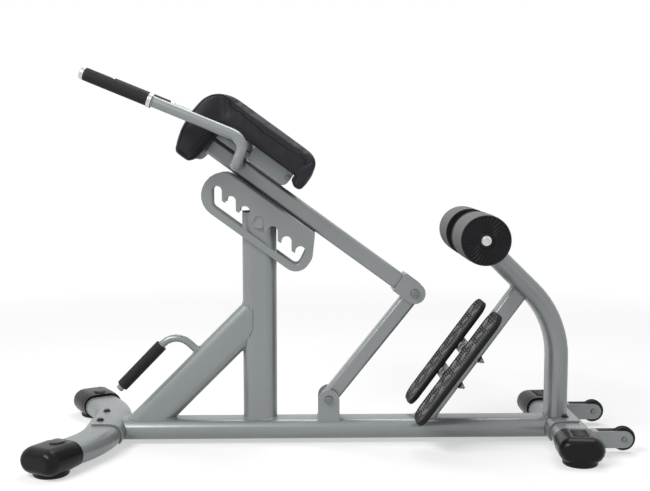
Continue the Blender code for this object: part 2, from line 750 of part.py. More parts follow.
def pad_profile():
    """The side view of the hip pad: a flat top, a lip at the low end and a nose over the boom's end."""
    return [
        (PAD_LOW_END, PAD_TOP, 0.025), (PAD_LOW_END + 0.001, PAD_LIP_BOTTOM, PAD_EDGE),
        (PAD_LOW_END + PAD_LIP, PAD_LIP_BOTTOM, PAD_EDGE),
        (PAD_LOW_END + PAD_LIP + 0.002, PAD_UNDERSIDE, 0.004),
        (PAD_NOSE_BACK, PAD_UNDERSIDE, 0.004), (PAD_NOSE_BACK + 0.002, PAD_NOSE_BOTTOM, PAD_EDGE),
        (PAD_NOSE_TIP, PAD_NOSE_BOTTOM, PAD_EDGE), (PAD_HIGH_END, PAD_NOSE_BEND, 0.205),
        (PAD_HIGH_END - 0.004, PAD_TOP, 0.060)]


def shrunk(outline, inset):
    """An outline moved inward by an inset, along the mean of its edges' normals."""
    area = sum(p.x * q.y - q.x * p.y for p, q in zip(outline, outline[1:] + outline[:1]))
    turn = 1 if area > 0 else -1
    moved = []
    for index, here in enumerate(outline):
        come = (here - outline[index - 1]).normalized()
        leave = (outline[(index + 1) % len(outline)] - here).normalized()
        normal = Vector((-come.y - leave.y, come.x + leave.x)).normalized() * turn
        spread = max(0.5, normal.dot(Vector((-come.y, come.x)) * turn))
        moved.append(here + normal * (inset / spread))
    return moved


def hip_pad(boom):
    """The upholstered hip pad, round all along its sides, with a rail that bolts it to the boom."""
    outline = rounded(pad_profile())
    half = PAD_WIDTH / 2
    ring_list = []
    for i in range(PAD_STEPS + 1):
        angle = pi / 2 * i / PAD_STEPS
        inset = PAD_SIDE_ROUND * (1 - sin(angle))
        y = -half + PAD_SIDE_ROUND * (1 - cos(angle))
        ring_list.append([Vector((p.x, y, p.y)) for p in shrunk(outline, inset)])
    ring_list += [[Vector((p.x, -p.y, p.z)) for p in ring] for ring in reversed(ring_list)]
    piece("hip_pad", solid(ring_list), "pad_vinyl", boom)
    floor = BOOM_SIZE / 2 + GAP
    top = PAD_UNDERSIDE - GAP
    outside = RAIL_HALF_WIDTH
    inside = outside - RAIL_PLATE
    section = rounded([
        (-outside, top, 0), (-outside, floor, RACK_BEND), (outside, floor, RACK_BEND), (outside, top, 0),
        (inside, top, 0), (inside, floor + RAIL_PLATE, RACK_BEND - RAIL_PLATE),
        (-inside, floor + RAIL_PLATE, RACK_BEND - RAIL_PLATE), (-inside, top, 0)], radians(22.5))
    rail = piece("pad_rail", end_view(section, RAIL_LOW_END, RAIL_HIGH_END), "frame_paint", boom)
    outline = rounded([
        (RAIL_LOW_END, floor, RAIL_CORNER), (RAIL_HIGH_END, floor, RAIL_CORNER),
        (RAIL_HIGH_END, 2 * top, 0), (RAIL_LOW_END, 2 * top, 0)])
    trim = piece("pad_rail_outline", side_view(outline, 2 * outside), None, boom)
    combine(rail, trim, "INTERSECT")


def handle_run(side):
    """A handle's corner, its free end and its direction, in the boom's frame."""
    corner = Vector((BAR_CORNER_ALONG, side * HANDLE_SPACING / 2, BAR_CORNER_ABOVE))
    end = corner + Vector((HANDLE_LENGTH * cos(HANDLE_TILT), 0, -HANDLE_LENGTH * sin(HANDLE_TILT)))
    end.y = side * HANDLE_END_SPACING / 2
    return corner, end, (end - corner).normalized()


def handlebar(boom):
    """The bent handlebar through the boom's upper end, with grips, collars and plugs."""
    runs = {side: handle_run(side) for _, side in SIDES}
    low = [Vector((BAR_CROSS_ALONG, side * HANDLE_SPACING / 2, BAR_CROSS_ABOVE)) for side in (-1, 1)]
    points = [runs[-1][1], runs[-1][0], low[0], low[1], runs[1][0], runs[1][1]]
    bends = [BAR_HIGH_BEND, BAR_LOW_BEND, BAR_LOW_BEND, BAR_HIGH_BEND]
    frames = carried(bent_path(points, bends), Y_AXIS)
    bore = BAR_RADIUS - BAR_WALL
    shape = hollow(rings(circle(BAR_RADIUS), frames), rings(circle(bore), frames))
    piece("handlebar", shape, "frame_paint", boom)
    room = BAR_RADIUS + GAP
    for label, side in SIDES:
        _, end, direction = runs[-side]
        grip = end - direction * GRIP_LENGTH
        shape = sleeve(grip, direction, GRIP_LENGTH, BAR_RADIUS + GRIP_WALL, room)
        piece("handle_grip_" + label, shape, "grip_rubber", boom)
        collar = grip - direction * (COLLAR_LENGTH + GAP)
        shape = sleeve(collar, direction, COLLAR_LENGTH, BAR_RADIUS + COLLAR_WALL, room)
        piece("handle_collar_" + label, shape, "bright_steel", boom)
        cap = BAR_RADIUS + GRIP_WALL
        stations = [(-PLUG_SPIGOT, bore - GAP), (GAP, bore - GAP), (GAP, cap),
                    (PLUG_LENGTH * 0.7, cap), (PLUG_LENGTH, cap * 0.85)]
        piece("handle_plug_" + label, stepped(stations, end, direction), "bright_steel", boom)


def boom_group(upper_pivot):
    """The hip boom and all that swings with it."""
    boom = datum("boom", upper_pivot, rotation=(0, -BOOM_SLOPE, pi))
    start = CLEVIS_REACH + GAP
    shape = box_tube(BOOM_SIZE, BOOM_CORNER, BOOM_WALL, start, BOOM_LENGTH)
    tube = piece("boom_tube", shape, "frame_paint", boom)
    place = (BAR_CROSS_ALONG, 0, BAR_CROSS_ABOVE)
    cut(tube, piece("handlebar_hole", shaft(BAR_RADIUS + GAP, TUBE_WIDE), None, boom, place))
    ears("boom_clevis", CLEVIS_REACH, CLEVIS_REACH - EAR_FLOOR, boom, rotation=(0, -pi / 2, 0))
    inner = box_outline(BOOM_SIZE - 2 * (BOOM_WALL + GAP), BOOM_CORNER - BOOM_WALL / 2)
    outer = box_outline(BOOM_SIZE, BOOM_CORNER)
    face = BOOM_LENGTH + GAP
    cap = [(BOOM_LENGTH - LID_SPIGOT, inner), (face, inner), (face, outer), (face + BOOM_CAP, outer)]
    cap_rings = [rings(outline, [(X_AXIS * x, Y_AXIS, Z_AXIS)])[0] for x, outline in cap]
    piece("boom_end_cap", solid(cap_rings), "black_plastic", boom)
    rack(boom)
    hip_pad(boom)
    handlebar(boom)


def rear_post(bench, base_cutter, saddle_room):
    """The bent post coped onto the rear saddle, with the roller hub across its top."""
    points = [(POST_X, 0, BASE_Z), (POST_X, 0, POST_CORNER_Z), (ROLLER_X, 0, ROLLER_Z)]
    frames = wide_across(bent_path(points, [POST_BEND], radians(5.0)))
    post = cut(oval_tube("rear_post", frames, bench), base_cutter, saddle_room)
    hub = bush(HUB_RADIUS, AXLE_RADIUS + GAP, HUB_LENGTH / 2)
    piece("roller_hub", hub, "frame_paint", bench, ROLLER_AXIS)
    hub_room = shaft(HUB_RADIUS + GAP, TUBE_WIDE)
    cut(post, piece("roller_hub_room", hub_room, None, bench, ROLLER_AXIS))
    return oval_room("rear_post_room", frames, bench)


def rollers(bench):
    """Two foam leg rollers on spools that spin on one axle."""
    inner_end = HUB_LENGTH / 2 + RUNNING_GAP
    outer_end = inner_end + ROLLER_LENGTH
    axle = headed_shaft(AXLE_RADIUS, outer_end + RUNNING_GAP, AXLE_HEAD_RADIUS, AXLE_HEAD)
    piece("roller_axle", axle, "bright_steel", bench, ROLLER_AXIS)
    bore = AXLE_RADIUS + RUNNING_GAP
    inner_face = inner_end + CORE_FLANGE
    outer_face = outer_end - CORE_FLANGE
    for label, side in SIDES:
        spool = [
            (bore, inner_end), (INNER_FLANGE_RADIUS, inner_end), (INNER_FLANGE_RADIUS, inner_face),
            (CORE_RADIUS, inner_face), (CORE_RADIUS, outer_face), (OUTER_FLANGE_RADIUS, outer_face),
            (OUTER_FLANGE_RADIUS, outer_end), (bore, outer_end)]
        start = inner_face + GAP
        end = outer_face - GAP
        foam_bore = CORE_RADIUS + GAP
        rim = FOAM_RADIUS - FOAM_EDGE
        foam = [
            (foam_bore, start), (rim, start), (FOAM_RADIUS, start + FOAM_EDGE),
            (FOAM_RADIUS, end - FOAM_EDGE), (rim, end), (foam_bore, end)]
        for name, profile, material in (("spool", spool, "black_plastic"), ("foam", foam, "roller_foam")):
            shape = turned([(radius, side * y) for radius, y in profile])
            piece("roller_" + name + "_" + label, shape, material, bench, ROLLER_AXIS)


def footplates(bench, base_cutter, post_room):
    """Two footplates on cross straps over a sloping square stem."""
    stem_frame = datum("stem", bench, (STEM_FOOT_X, 0, STEM_FOOT_Z), (0, -STEM_SLOPE, 0))
    shape = box_tube(STEM_SIZE, STEM_CORNER, STEM_WALL, -STEM_SIZE, STEM_REACH)
    stem = piece("footplate_stem", shape, "frame_paint", stem_frame)
    cut(stem, base_cutter, post_room)
    strap_base = STEM_SIZE / 2 + GAP
    strap_top = strap_base + STRAP_THICKNESS
    for name, along in zip(("lower", "upper"), STRAP_PLACES):
        low = (along - STRAP_WIDTH / 2, -STRAP_LENGTH / 2, strap_base)
        high = (along + STRAP_WIDTH / 2, STRAP_LENGTH / 2, strap_top)
        piece("footplate_strap_" + name, block(low, high), "dark_steel", stem_frame)
    half = TREAD_WIDTH / 2
    outline = rounded([
        (TREAD_START, -half, TREAD_CORNER), (TREAD_START + TREAD_LENGTH, -half, TREAD_CORNER),
        (TREAD_START + TREAD_LENGTH, half, TREAD_CORNER), (TREAD_START, half, TREAD_CORNER)])
    faces = (strap_top + GAP, strap_top + GAP + TREAD_THICKNESS)
    ring_list = [[Vector((p.x, p.y, z)) for p in outline] for z in faces]
    for label, side in SIDES:
        place = (0, side * TREAD_SPACING / 2, 0)
        piece("footplate_" + label, solid(ring_list), "tread_rubber", stem_frame, place)


def wheels(bench):
    """Two transport wheels in forks off the rear foot bar."""
    half = WHEEL_WIDTH / 2
    inside = half + RUNNING_GAP
    outside = inside + FORK_PLATE
    radius = FORK_HEIGHT / 2
    edge = WHEEL_RADIUS - WHEEL_EDGE
    bore = WHEEL_BOLT_RADIUS + RUNNING_GAP
    tyre = [(bore, -half), (edge, -half), (WHEEL_RADIUS, WHEEL_EDGE - half),
            (WHEEL_RADIUS, half - WHEEL_EDGE), (edge, half), (bore, half)]
    tip = [(radius * sin(ARC_STEP * i), radius * cos(ARC_STEP * i)) for i in range(13)]
    back = FORK_START_X - WHEEL_X
    cheek = [Vector(p) for p in tip + [(back, -radius), (back, radius)]]
    bar_stations = (*INNER_STATIONS, *OUTER_STATIONS, REAR.end)
    bar_room = oval_room("rear_foot_bar_room", bar_frames(REAR, bar_stations), bench, GAP, BAR_FLAT)
    for label, side in SIDES:
        centre = (WHEEL_X, side * WHEEL_Y, WHEEL_Z)
        piece("wheel_" + label, turned(tyre), "black_plastic", bench, centre)
        fork = piece("wheel_fork_" + label, side_view(cheek, outside), "frame_paint", bench, centre)
        slot = block((FORK_SLOT_X - WHEEL_X, -inside, -ENDLESS), (ENDLESS, inside, ENDLESS))
        slot = piece("wheel_slot_" + label, slot, None, bench, centre)
        hole = piece("wheel_hole_" + label, shaft(WHEEL_BOLT_RADIUS + GAP, TUBE_WIDE), None, bench, centre)
        cut(fork, slot, hole, bar_room)
        bolt = headed_shaft(WHEEL_BOLT_RADIUS, outside, WHEEL_BOLT_HEAD_RADIUS, WHEEL_BOLT_HEAD)
        piece("wheel_bolt_" + label, bolt, "dark_steel", bench, centre)


def middle():
    """The X of the bench's middle, between the front boots' noses and the wheels."""
    front = min(point.x for ring in boot_rings(FRONT, -1) for point in ring)
    return (front + WHEEL_X + WHEEL_RADIUS) / 2


def main():
    """Build the whole bench."""
    clear_scene()
    bench = datum("bench", location=(-middle(), 0, 0))
    rear_saddle_room = base(bench)
    base_cutter = base_room(bench)
    brace_room = mast(bench, base_cutter)
    carry_handle(bench, brace_room)
    bracket_floor = LOWER_PIVOT.z - BASE_TOP - GAP
    bracket = ears("link_bracket", bracket_floor + BRACKET_FOOT_DEPTH, bracket_floor - EAR_FLOOR,
                   bench, LOWER_PIVOT)
    cut(bracket, base_cutter)
    post_room = rear_post(bench, base_cutter, rear_saddle_room)
    rollers(bench)
    footplates(bench, base_cutter, post_room)
    wheels(bench)
    lower_pivot = datum("lower_pivot", bench, LOWER_PIVOT)
    pivot_bolt("lower_pivot_bolt", lower_pivot)
    link(lower_pivot)
    upper_pivot = datum("upper_pivot", bench, UPPER_PIVOT)
    pivot_bolt("upper_pivot_bolt", upper_pivot)
    boom_group(upper_pivot)


main()
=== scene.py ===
"""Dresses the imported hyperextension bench: coats, upholstery, mouldings, treads, welds and studio."""

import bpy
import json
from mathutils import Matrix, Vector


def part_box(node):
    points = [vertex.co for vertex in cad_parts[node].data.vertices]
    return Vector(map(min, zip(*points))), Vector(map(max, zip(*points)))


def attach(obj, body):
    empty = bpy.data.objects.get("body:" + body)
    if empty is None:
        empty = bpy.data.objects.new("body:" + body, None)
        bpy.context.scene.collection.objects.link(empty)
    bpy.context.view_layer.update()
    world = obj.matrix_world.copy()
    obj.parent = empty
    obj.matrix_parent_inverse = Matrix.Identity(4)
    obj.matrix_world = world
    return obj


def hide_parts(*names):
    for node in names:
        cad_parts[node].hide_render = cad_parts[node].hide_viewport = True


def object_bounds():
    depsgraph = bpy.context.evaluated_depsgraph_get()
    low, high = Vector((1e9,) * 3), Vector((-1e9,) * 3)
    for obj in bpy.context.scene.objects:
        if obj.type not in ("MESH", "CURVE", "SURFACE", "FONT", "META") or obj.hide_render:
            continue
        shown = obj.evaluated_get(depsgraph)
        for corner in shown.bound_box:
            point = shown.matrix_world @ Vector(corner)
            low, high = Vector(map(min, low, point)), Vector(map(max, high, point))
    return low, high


bl_info = {
    "name": "Hyperextension Bench Dressing",
    "version": (1, 0, 0),
    "blender": (4, 5, 0),
    "location": "3D View > Sidebar > Bench",
    "description": "Adds finishes, upholstery, mouldings and fasteners to the packed bench",
    "category": "Object",
}

import json
from math import cos, pi, radians, sin, tau

import bmesh
import bpy
import numpy as np
from bpy.props import FloatProperty, FloatVectorProperty, IntProperty, PointerProperty
from mathutils import Matrix, Vector
from mathutils.bvhtree import BVHTree

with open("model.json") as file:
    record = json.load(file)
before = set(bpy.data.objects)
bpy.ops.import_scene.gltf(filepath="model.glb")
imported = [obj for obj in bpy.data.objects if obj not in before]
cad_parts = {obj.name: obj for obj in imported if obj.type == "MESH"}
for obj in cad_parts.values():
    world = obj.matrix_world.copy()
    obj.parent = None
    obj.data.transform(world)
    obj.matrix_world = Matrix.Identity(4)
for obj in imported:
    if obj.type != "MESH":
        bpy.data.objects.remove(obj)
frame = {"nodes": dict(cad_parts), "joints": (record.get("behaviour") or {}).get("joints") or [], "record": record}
CAD_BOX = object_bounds()

RECORD = frame["record"]
SLOT_OF = {row["node"]: row["material_slot"] for row in RECORD["subparts"]}
BODY_OF = {
    node: body
    for body, nodes in RECORD["behaviour"]["bodies"].items()
    for node in nodes
}
PIVOT = {joint["name"]: Vector(joint["pos_m"]) for joint in frame["joints"]}

ACROSS = Vector((0, 1, 0))
UP = Vector((0, 0, 1))
SIDES = (("left", -1), ("right", 1))
MERGE_DISTANCE = 0.00001
CUT_EDGE_ANGLE = radians(32)
FLAT_ANGLE = radians(0.6)
BOOT_ROUNDING = 2.4
BOLT_EDGE = 0.0004

# The boom's own directions, from its pivot.
BOOM_SLOPE = radians(36.0)
BOOM_ALONG = Vector((-cos(BOOM_SLOPE), 0, sin(BOOM_SLOPE)))
BOOM_OUT = Vector((sin(BOOM_SLOPE), 0, cos(BOOM_SLOPE)))
PAD_SEAT_SPAN = (0.4445, 0.6575)
PAD_HELD_DEPTH = 0.0735
PAD_SWELL_LIMIT = 0.007
PAD_VOXEL = 0.005
PAD_SHRINK = 0.0022
PAD_PRESSURE = 4.0
PAD_QUALITY = 5
PAD_STEPS = 20
PIPING_INSET = 0.0065
STITCH_INSET = 0.010
SEWN_STEP = 0.004
NOSE_SEAM_ALONG = 0.69
NOSE_SEAM_DROP = -0.048
NOSE_SEAM_RADIUS = 0.0013
RAIL_BOLT = (0.4500, 0.0510)
SPACER_SPAN = (0.5640, 0.6600)
SPACER_HEIGHTS = (0.0232, 0.0460)
SPACER_HALF_WIDTH = 0.0200

# The footplates' own directions, from the foot of their stem.
STEM_SLOPE = radians(53.7)
STEM_FOOT = Vector((0.241355, 0, 0.066))
STEM_ALONG = Vector((cos(STEM_SLOPE), 0, sin(STEM_SLOPE)))
STEM_OUT = Vector((-sin(STEM_SLOPE), 0, cos(STEM_SLOPE)))
PLATE_MIDDLE = (0.163, 0.0421, 0.112)
PLATE_UNDERSIDE = 0.0291
PLATE_LENGTH = 0.350
PLATE_CORNER = 0.036
TREAD_SINK = 0.0013
STRAP_PLACES = (0.123, 0.209)
STRAP_UNDERSIDE = 0.0228
STRAP_TOP = 0.0288
NUT_OFFSETS = (0.086, 0.138)
STRAP_BOLT_OFFSET = 0.017

# The leg rollers' sleeves and spools.
FOAM_BORE = 0.0215
FOAM_EDGE = 0.006
FOAM_SWELL = 0.0010
CORE_RADIUS = 0.0200
AXLE_HOLE = 0.0105

# The boots' outward directions and the relief on their tops.
FRONT_BOOT_WAY = (-0.52, 0.854)
REAR_BOOT_WAY = (-0.09, 0.996)
BOOT_PATCH_LIFT = 0.0024
BOOT_RIB_LIFT = 0.0011
BOOT_RIB_PITCH = 0.0085
DROP_HEIGHT = 0.2

GRIP_END_CLEAR = 0.012

# Weld beads follow edges at least this sharp that lie this near the other piece.
WELD_EDGE_ANGLE = radians(28)
WELD_GAP = 0.0011
WELD_STEP = 0.003
WELD_CLOSING = 0.02

# Fasteners on the saddles: distance along the bench and to each side.
FRONT_BOLTS = (-0.6215, 0.046)
REAR_BOLTS = (0.6090, 0.042)

CAMERA_LENS = 55.94
CAMERA_SENSOR = 36.0
CAMERA_PLACE = (-0.0927, -2.66, 0.785)
CAMERA_PITCH = radians(90 - 5.553)
CAMERA_YAW = radians(-1.371)
FLOOR_HALF = 9.0
FLOOR_TONES = (0.56, 0.58)
FLOOR_LIFT = 0.52
FADE_REACH = 6.0
FADE_SPAN = (0.22, 0.52)
SKY_LIGHT = 0.26
WHITE = (1, 1, 1, 1)

# Tubes whose bends read as a grid of four-sided faces.
BENT_TUBES = ("rear_post", "handlebar", "front_foot_bar", "carry_handle")


class BenchSizes(bpy.types.PropertyGroup):
    """Sizes of the dressing that a user may change."""

    edge_round: FloatProperty(
        name="Edge Rounding",
        description="Radius that softens the metal's cut edges",
        default=0.0008,
        unit="LENGTH",
    )
    piping_radius: FloatProperty(
        name="Piping Radius",
        description="Half the thickness of the cord sewn into the pad's edges",
        default=0.0021,
        unit="LENGTH",
    )
    stitch_pitch: FloatProperty(
        name="Stitch Pitch",
        description="Distance from one stitch to the next",
        default=0.0045,
        unit="LENGTH",
    )
    disc_ribs: IntProperty(
        name="Disc Ribs",
        description="Number of curved ribs on each roller's end disc",
        default=34,
    )
    weld_pitch: FloatProperty(
        name="Weld Ripple",
        description="Distance from one ripple of a weld bead to the next",
        default=0.0026,
        unit="LENGTH",
    )
    weld_width: FloatProperty(
        name="Weld Width",
        description="Half the width of a weld bead",
        default=0.0027,
        unit="LENGTH",
    )
    grip_ring_pitch: FloatProperty(
        name="Grip Ring Pitch",
        description="Distance from one moulded ring of a hand grip to the next",
        default=0.0042,
        unit="LENGTH",
    )


class BenchColours(bpy.types.PropertyGroup):
    """Base colours of the finishes."""

    paint: FloatVectorProperty(
        name="Frame Paint",
        description="Satin silver-grey of the tubes and plates",
        subtype="COLOR",
        default=(0.295, 0.315, 0.320),
    )
    vinyl: FloatVectorProperty(
        name="Pad Vinyl",
        description="Black-violet upholstery",
        subtype="COLOR",
        default=(0.017, 0.015, 0.022),
    )
    foam: FloatVectorProperty(
        name="Roller Foam",
        description="Mid-grey foam of the leg rollers",
        subtype="COLOR",
        default=(0.185, 0.185, 0.187),
    )
    rubber: FloatVectorProperty(
        name="Moulded Rubber",
        description="Black rubber of the boots and tyres",
        subtype="COLOR",
        default=(0.0045, 0.0045, 0.0048),
    )
    plastic: FloatVectorProperty(
        name="Black Plastic",
        description="Moulded end discs and caps",
        subtype="COLOR",
        default=(0.0115, 0.0105, 0.0130),
    )
    tread: FloatVectorProperty(
        name="Tread Rubber",
        description="Grey-black rubber of the footplates",
        subtype="COLOR",
        default=(0.022, 0.022, 0.023),
    )


# Node graphs.


class Value:
    """A node's socket that can be used in sums and products."""

    def __init__(self, graph, socket):
        self.graph = graph
        self.socket = socket

    def __add__(self, other):
        return self.graph.sum("ADD", self, other)

    def __sub__(self, other):
        return self.graph.sum("SUBTRACT", self, other)

    def __rsub__(self, other):
        return self.graph.sum("SUBTRACT", other, self)

    def __mul__(self, other):
        return self.graph.sum("MULTIPLY", self, other)

    def __truediv__(self, other):
        return self.graph.sum("DIVIDE", self, other)

    __radd__ = __add__
    __rmul__ = __mul__


class Graph:
    """Adds nodes to a shader or geometry tree."""

    def __init__(self, tree):
        self.tree = tree
        self.tree.nodes.clear()

    def add(self, kind, settings=None, sockets=None, output=0):
        node = self.tree.nodes.new(kind)
        for key, value in (settings or {}).items():
            if key == "stops":
                self.fill_ramp(node.color_ramp, value)
            else:
                setattr(node, key, value)
        for key, value in (sockets or {}).items():
            if isinstance(value, Value):
                self.tree.links.new(value.socket, node.inputs[key])
            else:
                node.inputs[key].default_value = value
        if not node.outputs:
            return None
        return Value(self, node.outputs[output])

    def fill_ramp(self, ramp, stops):
        while len(ramp.elements) < len(stops):
            ramp.elements.new(0.5)
        for element, (place, level) in zip(ramp.elements, stops):
            element.position = place
            element.color = (level, level, level, 1)

    def sum(self, operation, first, second):
        return self.add("ShaderNodeMath", {"operation": operation}, {0: first, 1: second})


class Finish(Graph):
    """One procedural material."""

    def __init__(self, name):
        self.material = bpy.data.materials.new(name)
        self.material.use_nodes = True
        super().__init__(self.material.node_tree)
        self.place = self.add("ShaderNodeTexCoord", output="Object")

    def stretched(self, scale):
        return self.add("ShaderNodeMapping", {}, {"Vector": self.place, "Scale": scale})

    def noise(self, scale, detail=2.0, roughness=0.5, place=None):
        sockets = {
            "Vector": place or self.place,
            "Scale": scale,
            "Detail": detail,
            "Roughness": roughness,
        }
        return self.add("ShaderNodeTexNoise", {}, sockets, "Fac")

    def cells(self, scale, feature="F1"):
        sockets = {"Vector": self.place, "Scale": scale}
        return self.add("ShaderNodeTexVoronoi", {"feature": feature}, sockets, "Distance")

    def ramp(self, value, *stops):
        return self.add("ShaderNodeValToRGB", {"stops": stops}, {"Fac": value})

    def mixed(self, share, first, second):
        sockets = {0: share, 6: first, 7: second}
        return self.add("ShaderNodeMix", {"data_type": "RGBA"}, sockets, 2)

    def bump(self, height, depth, strength=1.0):
        sockets = {"Height": height, "Distance": depth, "Strength": strength}
        return self.add("ShaderNodeBump", {}, sockets)

    def finish(self, **sockets):
        shader = self.add("ShaderNodeBsdfPrincipled", {}, {
            key.replace("_", " "): value for key, value in sockets.items()
        })
        self.add("ShaderNodeOutputMaterial", {}, {"Surface": shader})
        return self.material


def tint(colour, factor):
    """Return a colour made lighter or darker, with its alpha."""
    return tuple(min(1.0, part * factor) for part in colour) + (1.0,)


def frame_paint(colour):
    """Satin metallic powder coat with orange peel, flake and faint handling marks."""
    coat = Finish("satin_frame_paint")
    cloud = coat.noise(5.0, 3.0)
    flake = coat.cells(2600.0)
    wear = coat.ramp(coat.noise(38.0, 6.0, 0.7), (0.52, 0.0), (0.74, 1.0))
    tone = coat.mixed(cloud, tint(colour, 0.93), tint(colour, 1.06))
    tone = coat.mixed(wear * 0.20, tone, tint(colour, 0.80))
    peel = coat.noise(620.0, 2.0) * 0.7 + flake * 0.3
    return coat.finish(
        Base_Color=tone,
        Metallic=0.45,
        Roughness=0.28 + wear * 0.10 + coat.noise(90.0) * 0.06,
        Normal=coat.bump(peel, 0.00006, 0.35),
        Specular_IOR_Level=0.35,
    )


def pad_vinyl(colour):
    """Fine-grained upholstery vinyl."""
    skin = Finish("grained_pad_vinyl")
    pebble = skin.cells(720.0, "SMOOTH_F1")
    crease = skin.noise(260.0, 4.0, 0.6)
    soft = skin.noise(9.0, 2.0)
    tone = skin.mixed(soft, tint(colour, 0.82), tint(colour, 1.22))
    tone = skin.mixed(skin.ramp(pebble, (0.15, 0.0), (0.6, 1.0)) * 0.35, tone, tint(colour, 0.5))
    return skin.finish(
        Base_Color=tone,
        Roughness=0.44 + crease * 0.14,
        Normal=skin.bump(pebble * 0.7 + crease * 0.5, 0.00035, 0.5),
        Specular_IOR_Level=0.28,
    )


def patterned_skin(name, colour, tones, pattern, rough, relief=None, shine=0.5):
    """A finish whose one pattern varies its tone, its roughness and its relief."""
    skin = Finish(name)
    kind, *sizes = pattern
    figure = getattr(skin, kind)(*sizes)
    low, high = tones
    start, spread = rough
    sockets = {"Normal": skin.bump(figure, *relief)} if relief else {}
    return skin.finish(
        Base_Color=skin.mixed(figure, tint(colour, low), tint(colour, high)),
        Roughness=start + figure * spread,
        Specular_IOR_Level=shine,
        **sockets,
    )


def piping_vinyl(colour):
    """Plain darker vinyl of the sewn cord and seams."""
    crease = ("noise", 420.0, 3.0)
    relief = (0.0002, 0.4)
    return patterned_skin("piping_vinyl", colour, (0.35, 0.55), crease, (0.34, 0.15), relief, 0.25)


def thread(colour):
    """Twisted black thread."""
    return patterned_skin("pad_thread", colour, (0.6, 1.6), ("noise", 1500.0, 2.0), (0.62, 0.2))


def roller_foam(colour):
    """Closed-cell foam skin with pores and a matt bloom."""
    foam = Finish("roller_foam_skin")
    pores = foam.ramp(foam.cells(900.0), (0.08, 0.0), (0.42, 1.0))
    bloom = foam.noise(26.0, 4.0, 0.6)
    tone = foam.mixed(bloom, tint(colour, 0.86), tint(colour, 1.16))
    tone = foam.mixed((1 - pores) * 0.55, tone, tint(colour, 0.45))
    return foam.finish(
        Base_Color=tone,
        Roughness=0.80 + bloom * 0.12,
        Normal=foam.bump(pores * 0.6 + foam.noise(400.0, 3.0) * 0.6, 0.0005, 0.55),
        Specular_IOR_Level=0.3,
    )


def moulded_rubber(name, colour, gloss):
    """Moulded rubber with a faint mould texture and scuffs."""
    rubber = Finish(name)
    scuff = rubber.ramp(rubber.noise(44.0, 6.0, 0.7), (0.55, 0.0), (0.78, 1.0))
    grain = rubber.noise(900.0, 2.0)
    return rubber.finish(
        Base_Color=rubber.mixed(scuff * 0.6, tint(colour, 1.0), tint(colour, 2.4)),
        Roughness=gloss + scuff * 0.22 + grain * 0.06,
        Normal=rubber.bump(grain, 0.00012, 0.35),
        Specular_IOR_Level=0.20,
    )


def grip_rubber(colour):
    """Matt grip rubber with a fine woven relief."""
    mesh = ("cells", 620.0)
    relief = (0.0006, 0.7)
    return patterned_skin("grip_rubber_relief", colour, (0.8, 2.6), mesh, (0.58, 0.2), relief, 0.25)


def tread_rubber(colour):
    """Grey-black plate rubber, lighter where feet rub it."""
    rubber = Finish("footplate_rubber")
    rub = rubber.ramp(rubber.noise(22.0, 5.0, 0.65), (0.38, 0.0), (0.72, 1.0))
    grain = rubber.noise(700.0, 3.0)
    return rubber.finish(
        Base_Color=rubber.mixed(rub, tint(colour, 0.75), tint(colour, 1.9)),
        Roughness=0.52 + rub * 0.14 + grain * 0.08,
        Normal=rubber.bump(grain, 0.00025, 0.5),
        Specular_IOR_Level=0.22,
    )


def steel(name, colour, roughness):
    """Turned or blackened steel with fine tool marks and spots of tarnish."""
    metal = Finish(name)
    marks = metal.noise(260.0, 3.0, 0.6, metal.stretched((1.0, 9.0, 1.0)))
    tarnish = metal.ramp(metal.noise(120.0, 5.0, 0.7), (0.5, 0.0), (0.8, 1.0))
    return metal.finish(
        Base_Color=metal.mixed(tarnish * 0.5, tint(colour, 1.0), tint(colour, 0.6)),
        Metallic=1.0,
        Roughness=roughness + marks * 0.16,
        Normal=metal.bump(marks, 0.00008, 0.4),
    )


def tread_boss_rubber(name, colour, shine):
    """The same rubber on raised parts, made lighter: a painted highlight on their tops, partly greyed by shoes."""
    rubber = Finish(name)
    rub = rubber.noise(60.0, 4.0)
    return rubber.finish(
        Base_Color=rubber.mixed(rub, tint(colour, shine * 0.6), tint(colour, shine * 1.3)),
        Roughness=0.40 + rub * 0.18,
        Normal=rubber.bump(rubber.noise(800.0), 0.0002, 0.4),
    )


FINISHES = {}


def make_finishes(colours):
    """Fill the table of materials, by the record's slots and for the added pieces."""
    # The plate's rubber is the tread colour darkened to 0.35: painted shade between the raised parts.
    plate = tint(colours.tread, 0.35)[:3]
    FINISHES.update(
        frame_paint=frame_paint(colours.paint),
        pad_vinyl=pad_vinyl(colours.vinyl),
        piping=piping_vinyl(colours.vinyl),
        thread=thread(colours.vinyl),
        roller_foam=roller_foam(colours.foam),
        boot_rubber=moulded_rubber("glossy_boot_rubber", colours.rubber, 0.24),
        grip_rubber=grip_rubber((0.012, 0.012, 0.013)),
        black_plastic=moulded_rubber("black_plastic_shell", colours.plastic, 0.34),
        tread_rubber=tread_rubber(plate),
        # Bosses and ridges are the same rubber lifted 5.5 and 3 times: painted highlight on raised tops, partly
        # rub wear.
        tread_boss=tread_boss_rubber("footplate_boss_rubber", colours.tread, 5.5),
        tread_ridge=tread_boss_rubber("footplate_ridge_rubber", colours.tread, 3.0),
        tyre=moulded_rubber("wheel_tyre_rubber", colours.rubber, 0.42),
        bright_steel=steel("bright_zinc_steel", (0.60, 0.60, 0.59), 0.22),
        dark_steel=steel("black_oxide_steel", (0.060, 0.058, 0.056), 0.34),
        pivot_steel=steel("grey_zinc_steel", (0.20, 0.21, 0.215), 0.34),
        pin_steel=steel("dull_pin_steel", (0.27, 0.285, 0.29), 0.42),
    )


# Meshes.


def smooth(mesh):
    """Shade every face smooth."""
    mesh.polygons.foreach_set("use_smooth", [True] * len(mesh.polygons))
    mesh.update()


def shown(name, mesh):
    """Return a new object in the scene for a mesh."""
    thing = bpy.data.objects.new(name, mesh)
    bpy.context.scene.collection.objects.link(thing)
    return thing


